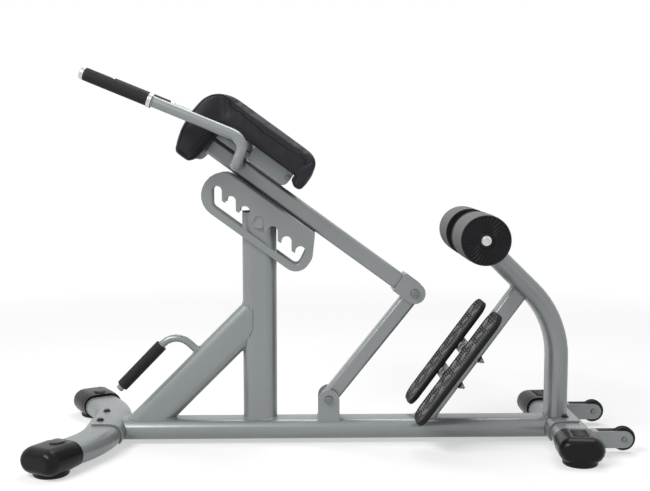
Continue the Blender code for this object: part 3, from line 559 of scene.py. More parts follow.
def settled(thing):
    """Replace a thing's mesh by its evaluated one and drop its modifiers."""
    depsgraph = bpy.context.evaluated_depsgraph_get()
    made = bpy.data.meshes.new_from_object(
        thing.evaluated_get(depsgraph), preserve_all_data_layers=True, depsgraph=depsgraph
    )
    thing.modifiers.clear()
    thing.data = made
    return thing


def dressed(thing, finish, body, slot, *nodes):
    """Give a finished piece its material and body, and hide the nodes it stands for; the slot is not used."""
    thing.data.materials.clear()
    thing.data.materials.append(FINISHES[finish])
    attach(thing, body)
    if nodes:
        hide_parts(*nodes)
    return thing


def modified(thing, name, kind, **settings):
    """Add a modifier with its settings."""
    modifier = thing.modifiers.new(name, kind)
    for key, value in settings.items():
        setattr(modifier, key, value)
    return modifier


def rounded(thing, width, segments, **limits):
    """Round the sharp edges of a thing."""
    modified(
        thing,
        "Edges",
        "BEVEL",
        width=width,
        segments=segments,
        limit_method="ANGLE",
        **limits,
    )


def merged(node):
    """Return a bmesh of a node's triangles with their corners merged."""
    body = bmesh.new()
    body.from_mesh(frame["nodes"][node].data)
    bmesh.ops.remove_doubles(body, verts=body.verts, dist=MERGE_DISTANCE)
    return body


def built(name, body, crease=None):
    """Turn a bmesh into a smooth thing that stays sharp along edges past the crease."""
    mesh = bpy.data.meshes.new(name)
    body.to_mesh(mesh)
    body.free()
    smooth(mesh)
    if crease:
        mesh.set_sharp_from_angle(angle=radians(crease))
    return shown(name, mesh)


def merged_copy(node, name):
    """Return a smooth copy of a node in which flat areas are single faces."""
    body = merged(node)
    if node in BENT_TUBES:
        bmesh.ops.join_triangles(
            body,
            faces=body.faces,
            angle_face_threshold=radians(14),
            angle_shape_threshold=radians(80),
        )
    else:
        bmesh.ops.dissolve_limit(
            body, angle_limit=FLAT_ANGLE, verts=body.verts, edges=body.edges
        )
    return built(name, body)


def softened(node, width, segments=2):
    """Return a copy of a node with its cut edges rounded and its faces shaded flush."""
    thing = merged_copy(node, node + "_finished")
    rounded(thing, width, segments, angle_limit=CUT_EDGE_ANGLE)
    modified(thing, "Flush", "WEIGHTED_NORMAL")
    return settled(thing)


def surface(thing):
    """Return a search tree over a thing's mesh."""
    points = [vertex.co.copy() for vertex in thing.data.vertices]
    faces = [tuple(face.vertices) for face in thing.data.polygons]
    return BVHTree.FromPolygons(points, faces)


def lofted(name, rings, crease=None, looped=False):
    """Return a closed thing with its skin through rings of points; one point is a pole."""
    body = bmesh.new()
    rings = [[body.verts.new(point) for point in ring] for ring in rings]
    if looped:
        rings.append(rings[0])
    sides = max(len(ring) for ring in rings)
    for low, high in zip(rings, rings[1:]):
        for k in range(sides):
            corners = [low[k % len(low)], low[(k + 1) % len(low)]]
            corners += [high[(k + 1) % len(high)], high[k % len(high)]]
            body.faces.new(list(dict.fromkeys(corners)))
    if not looped:
        for end in (rings[0][::-1], rings[-1]):
            if len(end) > 1:
                body.faces.new(end)
    bmesh.ops.remove_doubles(body, verts=body.verts, dist=MERGE_DISTANCE)
    bmesh.ops.recalc_face_normals(body, faces=body.faces)
    return built(name, body, crease)


def lathed(name, profile, sides=64):
    """Return a closed thing turned about Z from (along, radius) points."""
    turns = [tau * k / sides for k in range(sides)]
    rings = []
    for along, radius in profile:
        used = turns if radius else turns[:1]
        rings.append([(radius * cos(turn), radius * sin(turn), along) for turn in used])
    return lofted(name, rings, 38, looped=profile[0][1] > 0)


def placed(thing, middle, direction, spin=0.0):
    """Turn a thing built along Z so that it points in a direction, about a middle."""
    turn = Vector(direction).to_track_quat("Z", "Y").to_matrix().to_4x4()
    thing.data.transform(Matrix.Translation(middle) @ turn @ Matrix.Rotation(spin, 4, "Z"))
    return thing


def joined(name, things):
    """Join finished things into one."""
    body = bmesh.new()
    for thing in things:
        body.from_mesh(thing.data)
        bpy.data.objects.remove(thing)
    return built(name, body)


def path_mesh(name, points, closed):
    """Return a mesh of edges through points."""
    count = len(points)
    edges = [(k, (k + 1) % count) for k in range(count if closed else count - 1)]
    mesh = bpy.data.meshes.new(name)
    mesh.from_pydata([tuple(point) for point in points], edges, [])
    return mesh


def chained(edges):
    """Order edges, given as pairs of keys, into loops of keys."""
    beside = {}
    for first, second in edges:
        beside.setdefault(first, []).append(second)
        beside.setdefault(second, []).append(first)
    loops = []
    while beside:
        start = next((key for key, near in beside.items() if len(near) == 1), next(iter(beside)))
        loop = [start]
        while True:
            near = beside.get(loop[-1], [])
            following = next((key for key in near if key in beside and key not in loop[-2:]), None)
            if following is None or following == start:
                break
            loop.append(following)
            if len(loop) > len(beside):
                break
        for key in loop:
            beside.pop(key, None)
        loops.append(loop)
    return loops


def evenly(points, step, closed):
    """Return points spaced evenly along a line through others."""
    points = np.array(points, float)
    if closed:
        points = np.vstack([points, points[:1]])
    lengths = np.linalg.norm(np.diff(points, axis=0), axis=1)
    places = np.concatenate([[0.0], np.cumsum(lengths)])
    count = max(4, int(round(places[-1] / step)))
    marks = np.linspace(0, places[-1], count, endpoint=not closed)
    return np.stack([np.interp(marks, places, points[:, k]) for k in range(3)], axis=1)


def length_of(points):
    """Return the length of the line through points."""
    points = np.array(points, float)
    return float(np.linalg.norm(np.diff(points, axis=0), axis=1).sum())


def section(thing, point, normal):
    """Return the longest loop in which a plane cuts a thing."""
    body = bmesh.new()
    body.from_mesh(thing.data)
    parts = body.verts[:] + body.edges[:] + body.faces[:]
    cut = bmesh.ops.bisect_plane(body, geom=parts, dist=1e-7, plane_co=point, plane_no=normal)
    found = [part for part in cut["geom_cut"] if isinstance(part, bmesh.types.BMEdge)]
    body.verts.index_update()
    place = {vertex.index: vertex.co.copy() for vertex in body.verts}
    loops = chained([(edge.verts[0].index, edge.verts[1].index) for edge in found])
    body.free()
    return max(([place[key] for key in loop] for loop in loops), key=length_of)


# Geometry Nodes.


class Growth(Graph):
    """One geometry tree with a base mesh, a material and further named inputs."""

    def __init__(self, name):
        tree = bpy.data.node_groups.new(name, "GeometryNodeTree")
        super().__init__(tree)
        self.group = tree.nodes.new("NodeGroupInput")
        self.names = {}
        self.base = self.input("Geometry", "NodeSocketGeometry")
        self.material = self.input("Material", "NodeSocketMaterial")
        tree.interface.new_socket("Geometry", in_out="OUTPUT", socket_type="NodeSocketGeometry")

    def input(self, name, kind="NodeSocketFloat", default=None):
        item = self.tree.interface.new_socket(name, in_out="INPUT", socket_type=kind)
        if default is not None:
            item.default_value = default
        self.names[name] = item.identifier
        return Value(self, self.group.outputs[name])

    def numbers(self, **defaults):
        """Add a number input for each name and return them in order."""
        return [self.input(name, default=default) for name, default in defaults.items()]

    def counts(self, **defaults):
        """Add a whole-number input for each name and return them in order."""
        return [self.input(name, "NodeSocketInt", count) for name, count in defaults.items()]

    def vector(self, x, y, z):
        return self.add("ShaderNodeCombineXYZ", {}, {"X": x, "Y": y, "Z": z})

    def circle(self, resolution, radius):
        sockets = {"Resolution": resolution, "Radius": radius}
        return self.add("GeometryNodeCurvePrimitiveCircle", {}, sockets)

    def swept(self, curve, profile):
        sockets = {"Curve": curve, "Profile Curve": profile, "Fill Caps": True}
        return self.add("GeometryNodeCurveToMesh", {}, sockets)

    def drum(self, sides, radius, depth, lift):
        """Return a cylinder along Z, lifted off the origin."""
        sockets = {"Vertices": sides, "Radius": radius, "Depth": depth}
        drum = self.add("GeometryNodeMeshCylinder", {}, sockets)
        sockets = {"Geometry": drum, "Translation": self.vector(0.0, 0.0, lift)}
        return self.add("GeometryNodeTransform", {}, sockets)

    def scattered(self, points, instance, **sockets):
        sockets.update(Points=points, Instance=instance)
        return self.add("GeometryNodeInstanceOnPoints", {}, sockets)

    def close(self, made, soft=True):
        """End the tree: shade what was made, realize it and set its material."""
        if soft:
            made = self.add("GeometryNodeSetShadeSmooth", {}, {"Geometry": made})
        real = self.add("GeometryNodeRealizeInstances", {}, {"Geometry": made})
        sockets = {"Geometry": real, "Material": self.material}
        painted = self.add("GeometryNodeSetMaterial", {}, sockets)
        self.add("NodeGroupOutput", {}, {"Geometry": painted})
        return self


def grown(kind, name, base, finish, **sizes):
    """Run a geometry tree on a base mesh and return the plain result."""
    growth = GROWTHS[kind]
    thing = shown(name, base or bpy.data.meshes.new(name))
    modifier = modified(thing, "Growth", "NODES", node_group=growth.tree)
    modifier[growth.names["Material"]] = FINISHES[finish]
    for key, value in sizes.items():
        modifier[growth.names[key]] = value
    thing.update_tag()
    return settled(thing)


def cord_growth():
    """A round cord along the base mesh's edges."""
    growth = Growth("sewn_cord")
    (radius,) = growth.numbers(Radius=0.002)
    curve = growth.add("GeometryNodeMeshToCurve", {}, {"Mesh": growth.base})
    return growth.close(growth.swept(curve, growth.circle(8, radius)))


def bead_growth():
    """Flattened beads along the base mesh's edges, for stitches and weld ripples."""
    growth = Growth("bead_row")
    spacing, length, width, height, jitter = growth.numbers(
        Spacing=0.004, Length=0.002, Width=0.001, Height=0.001, Jitter=0.0
    )
    (seed,) = growth.counts(Seed=7)
    curve = growth.add("GeometryNodeMeshToCurve", {}, {"Mesh": growth.base})
    sockets = {"Curve": curve, "Length": spacing}
    points = growth.add("GeometryNodeCurveToPoints", {"mode": "LENGTH"}, sockets)
    rotation = Value(growth, points.socket.node.outputs["Rotation"])
    sockets = {2: 1 - jitter, 3: 1 + jitter, "Seed": seed}
    size = growth.add("FunctionNodeRandomValue", {"data_type": "FLOAT"}, sockets, 1)
    bead = growth.add("GeometryNodeMeshIcoSphere", {}, {"Radius": 1.0, "Subdivisions": 2})
    scale = growth.vector(width * size, height * size, length)
    return growth.close(growth.scattered(points, bead, Rotation=rotation, Scale=scale))


def rib_growth():
    """Curved ribs round a disc's middle, rising along Z."""
    growth = Growth("disc_ribs")
    (count,) = growth.counts(Ribs=40)
    inner, outer, sweep, width, height = growth.numbers(
        Inner=0.02, Outer=0.058, Sweep=0.006, Width=0.002, Height=0.002
    )
    sockets = {
        "Resolution": 5,
        "Start": growth.vector(inner, 0.0, 0.0),
        "Middle": growth.vector((inner + outer) * 0.5, sweep, 0.0),
        "End": growth.vector(outer, 0.0, 0.0),
    }
    line = growth.add("GeometryNodeCurveQuadraticBezier", {}, sockets)
    settings = {"mode": "RECTANGLE"}
    sockets = {"Width": width, "Height": height}
    bar = growth.add("GeometryNodeCurvePrimitiveQuadrilateral", settings, sockets)
    points = growth.add("GeometryNodePoints", {}, {"Count": count})
    turn = growth.vector(0.0, 0.0, growth.add("GeometryNodeInputIndex") * tau / count)
    ribs = growth.scattered(points, growth.swept(line, bar), Rotation=turn)
    return growth.close(ribs, soft=False)


def tread_growth():
    """Rows of raised bars on the XY plane, turned one way and the other."""
    growth = Growth("tread_bars")
    columns, rows = growth.counts(Columns=5, Rows=9)
    across, along, length, width, height, slant = growth.numbers(
        Across=0.1, Along=0.2, Length=0.007, Width=0.002, Height=0.0012, Slant=0.7
    )
    sockets = {"Vertices X": columns, "Vertices Y": rows, "Size X": across, "Size Y": along}
    grid = growth.add("GeometryNodeMeshGrid", {}, sockets)
    parity = growth.sum("MODULO", growth.add("GeometryNodeInputIndex"), 2.0)
    turn = growth.vector(0.0, 0.0, (parity * 2 - 1) * slant)
    bar = growth.add("GeometryNodeMeshUVSphere", {}, {"Segments": 10, "Rings": 6, "Radius": 1.0})
    scale = growth.vector(length, width, height)
    return growth.close(growth.scattered(grid, bar, Rotation=turn, Scale=scale))


def ring_growth():
    """Raised rings along Z, for a moulded hand grip."""
    growth = Growth("grip_rings")
    (count,) = growth.counts(Rings=30)
    spacing, radius, thickness = growth.numbers(Spacing=0.004, Radius=0.016, Thickness=0.0008)
    line = growth.add("GeometryNodePoints", {}, {"Count": count})
    index = growth.add("GeometryNodeInputIndex")
    lifted = growth.vector(0.0, 0.0, (index - (count - 1) * 0.5) * spacing)
    line = growth.add("GeometryNodeSetPosition", {}, {"Geometry": line, "Position": lifted})
    ring = growth.swept(growth.circle(28, radius), growth.circle(6, thickness))
    return growth.close(growth.scattered(line, ring))


def bolt_growth():
    """Bolt heads with washers on the base mesh's points, each turned to its facing."""
    growth = Growth("bolt_heads")
    radius, height, washer = growth.numbers(Radius=0.008, Height=0.005, Washer=0.011)
    (sides,) = growth.counts(Sides=6)
    head = growth.drum(sides, radius, height, height * 0.5 + 0.0012)
    plate = growth.drum(24, washer, 0.0018, 0.0006)
    both = growth.add("GeometryNodeJoinGeometry", {}, {"Geometry": head})
    growth.tree.links.new(plate.socket, both.socket.node.inputs["Geometry"])
    settings = {"data_type": "FLOAT_VECTOR"}
    facing = growth.add("GeometryNodeInputNamedAttribute", settings, {"Name": "facing"})
    turn = growth.add("FunctionNodeAlignRotationToVector", {"axis": "Z"}, {"Vector": facing})
    points = growth.add("GeometryNodeMeshToPoints", {}, {"Mesh": growth.base})
    return growth.close(growth.scattered(points, both, Rotation=turn), soft=False)


GROWTHS = {}


def make_growths():
    """Fill the table of geometry trees."""
    GROWTHS.update(
        cord=cord_growth(),
        beads=bead_growth(),
        ribs=rib_growth(),
        tread=tread_growth(),
        rings=ring_growth(),
        bolts=bolt_growth(),
    )


def bolt_points(name, places):
    """Return a mesh of points that each hold the direction their bolt faces."""
    mesh = bpy.data.meshes.new(name)
    mesh.from_pydata([tuple(point) for point, facing in places], [], [])
    facings = mesh.attributes.new("facing", "FLOAT_VECTOR", "POINT")
    facings.data.foreach_set("vector", [part for point, facing in places for part in facing])
    return mesh


def bolts(name, places, finish, body, radius, washer, height):
    """Add bolt heads at (point, facing) places, as one piece on a body."""
    size = {"Radius": radius, "Washer": washer, "Height": height}
    heads = grown("bolts", name, bolt_points(name, places), finish, **size)
    rounded(heads, BOLT_EDGE, 1)
    slot = "dark_steel" if finish == "pivot_steel" else finish
    return dressed(settled(heads), finish, body, slot)


# Pieces.


def boom_point(along, out, across=0.0):
    """Return the point of the boom at a distance from its pivot."""
    return PIVOT["boom_down"] + BOOM_ALONG * along + BOOM_OUT * out + ACROSS * across


def plate_point(along, out, across=0.0):
    """Return the point at a distance from the footplate stem's foot."""
    return STEM_FOOT + STEM_ALONG * along + STEM_OUT * out + ACROSS * across


FINISH_OF = {
    "support_pin": "pin_steel",
    "footplate_strap_lower": "frame_paint",
    "footplate_strap_upper": "frame_paint",
}

OWN_SHAPE = (
    "hip_pad",
    "footplate_left",
    "footplate_right",
    "lower_pivot_bolt",
    "upper_pivot_bolt",
    "wheel_bolt_left",
    "wheel_bolt_right",
    "roller_foam_left",
    "roller_foam_right",
    "roller_spool_left",
    "roller_spool_right",
    "roller_axle",
    "wheel_left",
    "wheel_right",
)


def finish_nodes(sizes):
    """Replace each rigid node by its softened copy."""
    for node in sorted(frame["nodes"]):
        if node in OWN_SHAPE:
            continue
        slot = SLOT_OF[node]
        width, segments = sizes.edge_round, 2
        if "boot" in node:
            width, segments = sizes.edge_round * BOOT_ROUNDING, 3
        thing = softened(node, width, segments)
        dressed(thing, FINISH_OF.get(node, slot), BODY_OF[node], slot, node)


def held_group(thing):
    """Hold the vertices of the pad that lie on its rail."""
    group = thing.vertex_groups.new(name="held")
    start = PIVOT["boom_down"]
    low, high = PAD_SEAT_SPAN
    held = []
    for vertex in thing.data.vertices:
        place = vertex.co - start
        if low < place.dot(BOOM_ALONG) < high and place.dot(BOOM_OUT) < PAD_HELD_DEPTH:
            held.append(vertex.index)
    group.add(held, 1.0, "REPLACE")
    return group.name


def stuffed(thing):
    """Swell a shell under pressure and keep each point near where it was."""
    start = np.array([vertex.co[:] for vertex in thing.data.vertices])
    cloth = thing.modifiers.new("Filling", "CLOTH")
    cloth.settings.use_pressure = True
    cloth.settings.uniform_pressure_force = PAD_PRESSURE
    cloth.settings.effector_weights.gravity = 0.0
    cloth.settings.vertex_group_mass = held_group(thing)
    cloth.settings.quality = PAD_QUALITY
    scene = bpy.context.scene
    for step in range(PAD_STEPS):
        scene.frame_set(step + 1)
    depsgraph = bpy.context.evaluated_depsgraph_get()
    swollen = thing.evaluated_get(depsgraph).data
    moved = np.array([vertex.co[:] for vertex in swollen.vertices]) - start
    thing.modifiers.clear()
    scene.frame_set(1)
    reach = np.linalg.norm(moved, axis=1, keepdims=True)
    moved *= PAD_SWELL_LIMIT * np.tanh(reach / PAD_SWELL_LIMIT) / np.maximum(reach, 1e-9)
    thing.data.vertices.foreach_set("co", (start + moved).ravel())
    thing.data.update()


def pad_shell():
    """Return the hip pad as an even, stuffed shell."""
    pad = merged_copy("hip_pad", "hip_pad_cover")
    shell = {"mode": "VOXEL", "voxel_size": PAD_VOXEL, "use_smooth_shade": True}
    modified(pad, "Shell", "REMESH", **shell)
    modified(pad, "Inset", "DISPLACE", mid_level=0.0, strength=-PAD_SHRINK)
    modified(pad, "Relax", "SMOOTH", factor=0.5, iterations=3)
    settled(pad)
    stuffed(pad)
    modified(pad, "Finer", "SUBSURF", levels=1, render_levels=1)
    settled(pad)
    smooth(pad.data)
    return pad


def sewn(name, pad, point, normal, kind, finish, **sizes):
    """Sew a cord or a row of stitches round the pad, where a plane cuts it."""
    line = evenly(section(pad, point, normal), SEWN_STEP, True)
    made = grown(kind, name, path_mesh("row", line, True), finish, **sizes)
    dressed(made, finish, "boom", "pad_vinyl")


def sewn_pad(sizes):
    """Upholster the hip pad: a stuffed shell, piping, seams and stitches."""
    pad = pad_shell()
    dressed(pad, "pad_vinyl", "boom", "pad_vinyl", "hip_pad")
    edge = max(abs(corner.y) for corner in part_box("hip_pad")) - PIPING_INSET
    thread_size = {"Length": 0.0017, "Width": 0.00045, "Height": 0.00045}
    for side, sign in SIDES:
        cord = ("cord", "piping")
        place = ACROSS * (sign * edge)
        sewn(f"pad_piping_{side}", pad, place, ACROSS, *cord, Radius=sizes.piping_radius)
        row = ("beads", "thread")
        place = ACROSS * (sign * (edge - STITCH_INSET))
        pitch = sizes.stitch_pitch
        sewn(f"pad_stitches_{side}", pad, place, ACROSS, *row, Spacing=pitch, **thread_size)
    place = boom_point(NOSE_SEAM_ALONG, NOSE_SEAM_DROP)
    sewn("pad_nose_seam", pad, place, BOOM_OUT, "cord", "piping", Radius=NOSE_SEAM_RADIUS)


def foam_profile(half, radius):
    """Return the (along, radius) line of a sleeve with rounded ends and a slight swell."""
    end = [(half, FOAM_BORE)]
    for k in range(7):
        turn = pi / 2 * k / 6
        end.append((half - FOAM_EDGE * (1 - cos(turn)), radius - FOAM_EDGE * (1 - sin(turn))))
    flat = half - FOAM_EDGE
    middle = [(flat * (k / 6 - 1), radius + FOAM_SWELL * sin(pi * k / 12)) for k in range(1, 12)]
    return [(-along, size) for along, size in end] + middle + end[::-1]


def rolled_foam(sizes):
    """Turn the foam sleeves, their ribbed end discs and the axle's hexagon heads."""
    middle = PIVOT["roller_left_spin"].copy()
    middle.y = 0
    for side, sign in SIDES:
        body = f"roller_{side}"
        low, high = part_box(f"roller_foam_{side}")
        profile = foam_profile((high.y - low.y) / 2, (high.z - low.z) / 2)
        centre = Vector((middle.x, (low.y + high.y) / 2, middle.z))
        foam = placed(lathed(f"roller_sleeve_{side}", profile, 96), centre, ACROSS)
        dressed(foam, "roller_foam", body, "roller_foam", f"roller_foam_{side}")
        end_discs(side, sign, body, middle, sizes)
    hexagon_bolt("roller_axle", 0.0088, 0.0076, "bright_steel")


def end_discs(side, sign, body, middle, sizes):
    """Turn one roller's plastic spool with a rim, a boss and curved ribs."""
    low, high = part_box(f"roller_spool_{side}")
    outside = max(abs(low.y), abs(high.y))
    inside = min(abs(low.y), abs(high.y))
    disc = (high.z - low.z) / 2
    face = outside - 0.0010
    profile = [
        (inside, AXLE_HOLE),
        (inside, disc - 0.0012),
        (inside + 0.0012, disc),
        (inside + 0.0038, disc - 0.0004),
        (inside + 0.0040, CORE_RADIUS),
        (face - 0.0032, CORE_RADIUS),
        (face - 0.0030, disc - 0.0028),
        (face - 0.0010, disc - 0.0016),
        (face + 0.0010, disc - 0.0024),
        (face + 0.0014, disc - 0.0042),
        (face + 0.0006, disc - 0.0064),
        (face - 0.0012, disc - 0.0075),
        (face - 0.0012, FOAM_BORE),
        (face + 0.0010, CORE_RADIUS),
        (face + 0.0016, 0.0185),
        (face + 0.0016, 0.0150),
        (face + 0.0006, 0.0140),
        (face + 0.0006, AXLE_HOLE),
    ]
    spool = placed(lathed(f"roller_core_{side}", profile, 72), middle, ACROSS * sign)
    dressed(spool, "black_plastic", body, "black_plastic", f"roller_spool_{side}")
    rib = {"Inner": 0.0212, "Outer": disc - 0.0066, "Sweep": 0.0075, "Width": 0.0030}
    rib.update(Height=0.0050, Ribs=sizes.disc_ribs)
    ribs = grown("ribs", f"roller_disc_ribs_{side}", None, "black_plastic", **rib)
    placed(ribs, middle + ACROSS * sign * (face - 0.0006), ACROSS * sign)
    dressed(ribs, "black_plastic", body, "black_plastic")


def hexagon_bolt(node, shaft_radius, head_height, finish):
    """Turn a bolt along Y with a washer and a hexagon head or nut at each end."""
    low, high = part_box(node)
    middle = (low + high) / 2
    reach = (high.y - low.y) / 2
    radius = (high.z - low.z) / 2
    under = reach - head_height
    shaft = [(-under, 0), (-under, shaft_radius), (under, shaft_radius), (under, 0)]
    washer = [(under, 0), (under, radius), (under + 0.0012, radius), (under + 0.0012, 0)]
    head = [
        (under + 0.0010, 0),
        (under + 0.0010, radius * 0.93),
        (reach - 0.0009, radius * 0.93),
        (reach, radius * 0.80),
        (reach, radius * 0.46),
        (reach - 0.0012, radius * 0.40),
        (reach - 0.0012, 0),
    ]
    parts = [placed(lathed("shaft", shaft, 32), middle, ACROSS)]
    for sign in (-1, 1):
        parts.append(placed(lathed("washer", washer, 32), middle, ACROSS * sign))
        parts.append(placed(lathed("head", head, 6), middle, ACROSS * sign, radians(12)))
    bolt = joined(f"{node}_turned", parts)
    dressed(bolt, finish, BODY_OF[node], SLOT_OF[node], node)


def dropped(skin, point):
    """Return where a point above a surface falls on it."""
    hit = skin.ray_cast(point + UP * DROP_HEIGHT, -UP)[0]
    if hit is None:
        raise RuntimeError("a raised patch misses the piece under it")
    return hit


def draped(name, node, outline, lift, sunk=0.0015):
    """Lay rings of points on top of a node and raise the inner ones."""
    skin = surface(frame["nodes"][node])
    rings = []
    for ring, height in outline:
        rise = UP * (height * lift - (1 - height) * sunk)
        rings.append([dropped(skin, point) + rise for point in ring])
    floor = [point - UP * sunk for point in rings[0]]
    return lofted(name, [floor] + rings)


def oval_rings(middle, long_way, wide_way, long_half, wide_half, count=32):
    """Return shrinking oval rings of points with the height of each."""
    outline = []
    for share, height in ((1.0, 0.0), (0.97, 0.7), (0.90, 1.0), (0.55, 1.0), (0.2, 1.0)):
        ring = [
            middle
            + long_way * (long_half * share * cos(tau * k / count))
            + wide_way * (wide_half * share * sin(tau * k / count))
            for k in range(count)
        ]
        outline.append((ring, height))
    return outline


def boot_top(node, sign, way, shift):
    """Return a point on a boot's top with the outward and crosswise directions there."""
    low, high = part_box(node)
    outward = Vector((way[0], sign * way[1], 0))
    middle = (low + high) / 2
    middle = Vector((middle.x + shift[0], middle.y - sign * shift[1], high.z))
    return middle, outward, Vector((outward.y, -outward.x, 0))


def moulded_boots():
    """Add the raised oval pads on the front boots and the ribbed bands on the rear ones."""
    for side, sign in SIDES:
        node = f"front_boot_{side}"
        middle, outward, wide = boot_top(node, sign, FRONT_BOOT_WAY, (0.010, 0.016))
        rings = oval_rings(middle, outward, wide, 0.024, 0.017)
        patch = draped(f"front_boot_pad_{side}", node, rings, BOOT_PATCH_LIFT)
        dressed(patch, "boot_rubber", "frame", "boot_rubber")
        node = f"rear_boot_{side}"
        middle, outward, wide = boot_top(node, sign, REAR_BOOT_WAY, (0.0, 0.004))
        ribs = []
        for step in range(-3, 4):
            place = middle + outward * (step * BOOT_RIB_PITCH)
            rings = oval_rings(place, wide, outward, 0.021, 0.0024, 20)
            ribs.append(draped(f"rib_{side}_{step}", node, rings, BOOT_RIB_LIFT))
        band = joined(f"rear_boot_ribs_{side}", ribs)
        dressed(band, "boot_rubber", "frame", "boot_rubber")


def plate_outline(half_wide, half_long, corner, steps=8):
    """Return the points of a rounded rectangle round the origin."""
    points = []
    for quarter, (side, end) in enumerate(((1, 1), (-1, 1), (-1, -1), (1, -1))):
        for step in range(steps + 1):
            turn = pi / 2 * (quarter + step / steps)
            across = side * (half_wide - corner) + corner * cos(turn)
            points.append((across, end * (half_long - corner) + corner * sin(turn)))
    return points


def plate_turn():
    """Return the turn from X across, Y along and Z out to the footplates' directions."""
    across = STEM_ALONG.cross(STEM_OUT)
    return Matrix((across, STEM_ALONG, STEM_OUT)).transposed().to_4x4()


def moulded_plate(side, place):
    """Mould one footplate with round ends, a soft rim and a hollowed top."""
    low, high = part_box(f"footplate_{side}")
    half_wide = (high.y - low.y) / 2
    half_long = PLATE_LENGTH / 2
    thick = PLATE_MIDDLE[1] - PLATE_UNDERSIDE
    layers = (
        (-thick, 0.0020),
        (-thick + 0.0020, 0.0),
        (-0.0035, 0.0),
        (-0.0010, 0.0010),
        (0.0, 0.0035),
        (-0.0002, 0.0062),
        (-0.0014, 0.0074),
    )
    rings = []
    for height, inset in layers:
        outline = plate_outline(half_wide - inset, half_long - inset, PLATE_CORNER - inset)
        rings.append([(x, y, height) for x, y in outline])
    plate = lofted(f"footplate_{side}_moulded", rings, 50)
    plate.data.transform(place)
    return plate


HATCH = {"Columns": 3, "Rows": 44, "Across": 0.070, "Along": 0.312, "Length": 0.0150}
HATCH.update(Width=0.0019, Height=0.0015, Slant=0.0)
OVALS = {"Across": 0.054, "Length": 0.0175, "Width": 0.0105, "Height": 0.0030, "Slant": 0.6}


def plate_treads():
    """Mould the footplates and cover them with fine ridges and staggered oval bosses."""
    along, out, across = PLATE_MIDDLE
    for side, sign in SIDES:
        place = Matrix.Translation(plate_point(along, out, sign * across)) @ plate_turn()
        plate = moulded_plate(side, place)
        dressed(plate, "tread_rubber", "frame", "tread_rubber", f"footplate_{side}")
        sunk = place @ Matrix.Translation((0, 0, -TREAD_SINK))
        ridges = grown("tread", f"footplate_ridges_{side}", None, "tread_ridge", **HATCH)
        ridges.data.transform(sunk)
        dressed(ridges, "tread_ridge", "frame", "tread_rubber")
        pairs = {"Columns": 2, "Rows": 5, "Along": 0.272}
        middles = {"Columns": 1, "Rows": 4, "Along": 0.204}
        rows = [grown("tread", "row", None, "tread_boss", **row, **OVALS) for row in (pairs, middles)]
        bosses = joined(f"footplate_bosses_{side}", rows)
        bosses.data.transform(sunk)
        dressed(bosses, "tread_boss", "frame", "tread_rubber")


def wrapped_grips(sizes):
    """Add moulded rings to the hand grips."""
    for side, sign in SIDES:
        rings_on(f"handle_grip_{side}", "boom", sizes)
    rings_on("carry_grip", "frame", sizes)


def rings_on(node, body, sizes):
    """Ring one straight grip along its own axis."""
    points = np.array([vertex.co[:] for vertex in frame["nodes"][node].data.vertices])
    centre = points.mean(axis=0)
    corners = (points.max(axis=0) + points.min(axis=0)) / 2
    values, vectors = np.linalg.eigh(np.cov((points - centre).T))
    axis = vectors[:, 2]
    spread = (points - corners) @ axis
    middle = corners + axis * (spread.max() + spread.min()) / 2
    length = spread.max() - spread.min()
    away = points - middle
    away = away - np.outer(away @ axis, axis)
    radius = float(np.linalg.norm(away, axis=1).max())
    pitch = sizes.grip_ring_pitch
    ring = {"Spacing": pitch, "Radius": radius - 0.00035, "Thickness": 0.00075}
    count = int((length - GRIP_END_CLEAR) / pitch)
    rings = grown("rings", node + "_rings", None, "grip_rubber", Rings=count, **ring)
    placed(rings, Vector(middle), Vector(axis))
    dressed(rings, "grip_rubber", body, "grip_rubber")


def turned_wheels():
    """Turn the two transport wheels with rounded tyres and recessed hubs."""
    for side, sign in SIDES:
        node = f"wheel_{side}"
        low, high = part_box(node)
        middle = (low + high) / 2
        half = (high.y - low.y) / 2
        radius = (high.z - low.z) / 2
        profile = [
            (-half + 0.003, 0.0056),
            (-half, 0.0070),
            (-half, 0.0105),
            (-half + 0.0035, 0.0120),
            (-half + 0.0035, 0.0190),
            (-half + 0.0005, 0.0205),
            (-half + 0.0008, radius - 0.0045),
            (-half + 0.0030, radius - 0.0012),
            (-half + 0.0062, radius),
        ]
        groove = [(-0.0032, radius), (-0.0026, radius - 0.0011)]
        mirrored = [(-along, size) for along, size in (profile + groove)[::-1]]
        wheel = lathed(f"{node}_turned", profile + groove + mirrored, 64)
        dressed(placed(wheel, middle, ACROSS), "tyre", node, "black_plastic", node)


def saddle_bolts(end, along, offset):
    """Bolt one saddle down to its foot."""
    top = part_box(f"{end}_saddle")[1].z
    places = [(Vector((along, sign * offset, top)), UP) for side, sign in SIDES]
    bolts(f"{end}_saddle_bolts", places, "dark_steel", "frame", 0.0075, 0.0105, 0.0045)


def strap_places(height, offsets, facing):
    """Return the places of fasteners along both footplate straps, at both sides."""
    return [
        (plate_point(along, height, sign * offset), facing)
        for along in STRAP_PLACES
        for offset in offsets
        for side, sign in SIDES
    ]


def nuts_on(kind, places, nut, shank, reach):
    """Fit nuts with the ends of their bolts showing past them."""
    bolts(f"{kind}_nuts", places, "pivot_steel", "frame", *nut)
    ends = [(point - STEM_OUT * reach, facing) for point, facing in places]
    bolts(f"{kind}_shanks", ends, "pivot_steel", "frame", *shank)


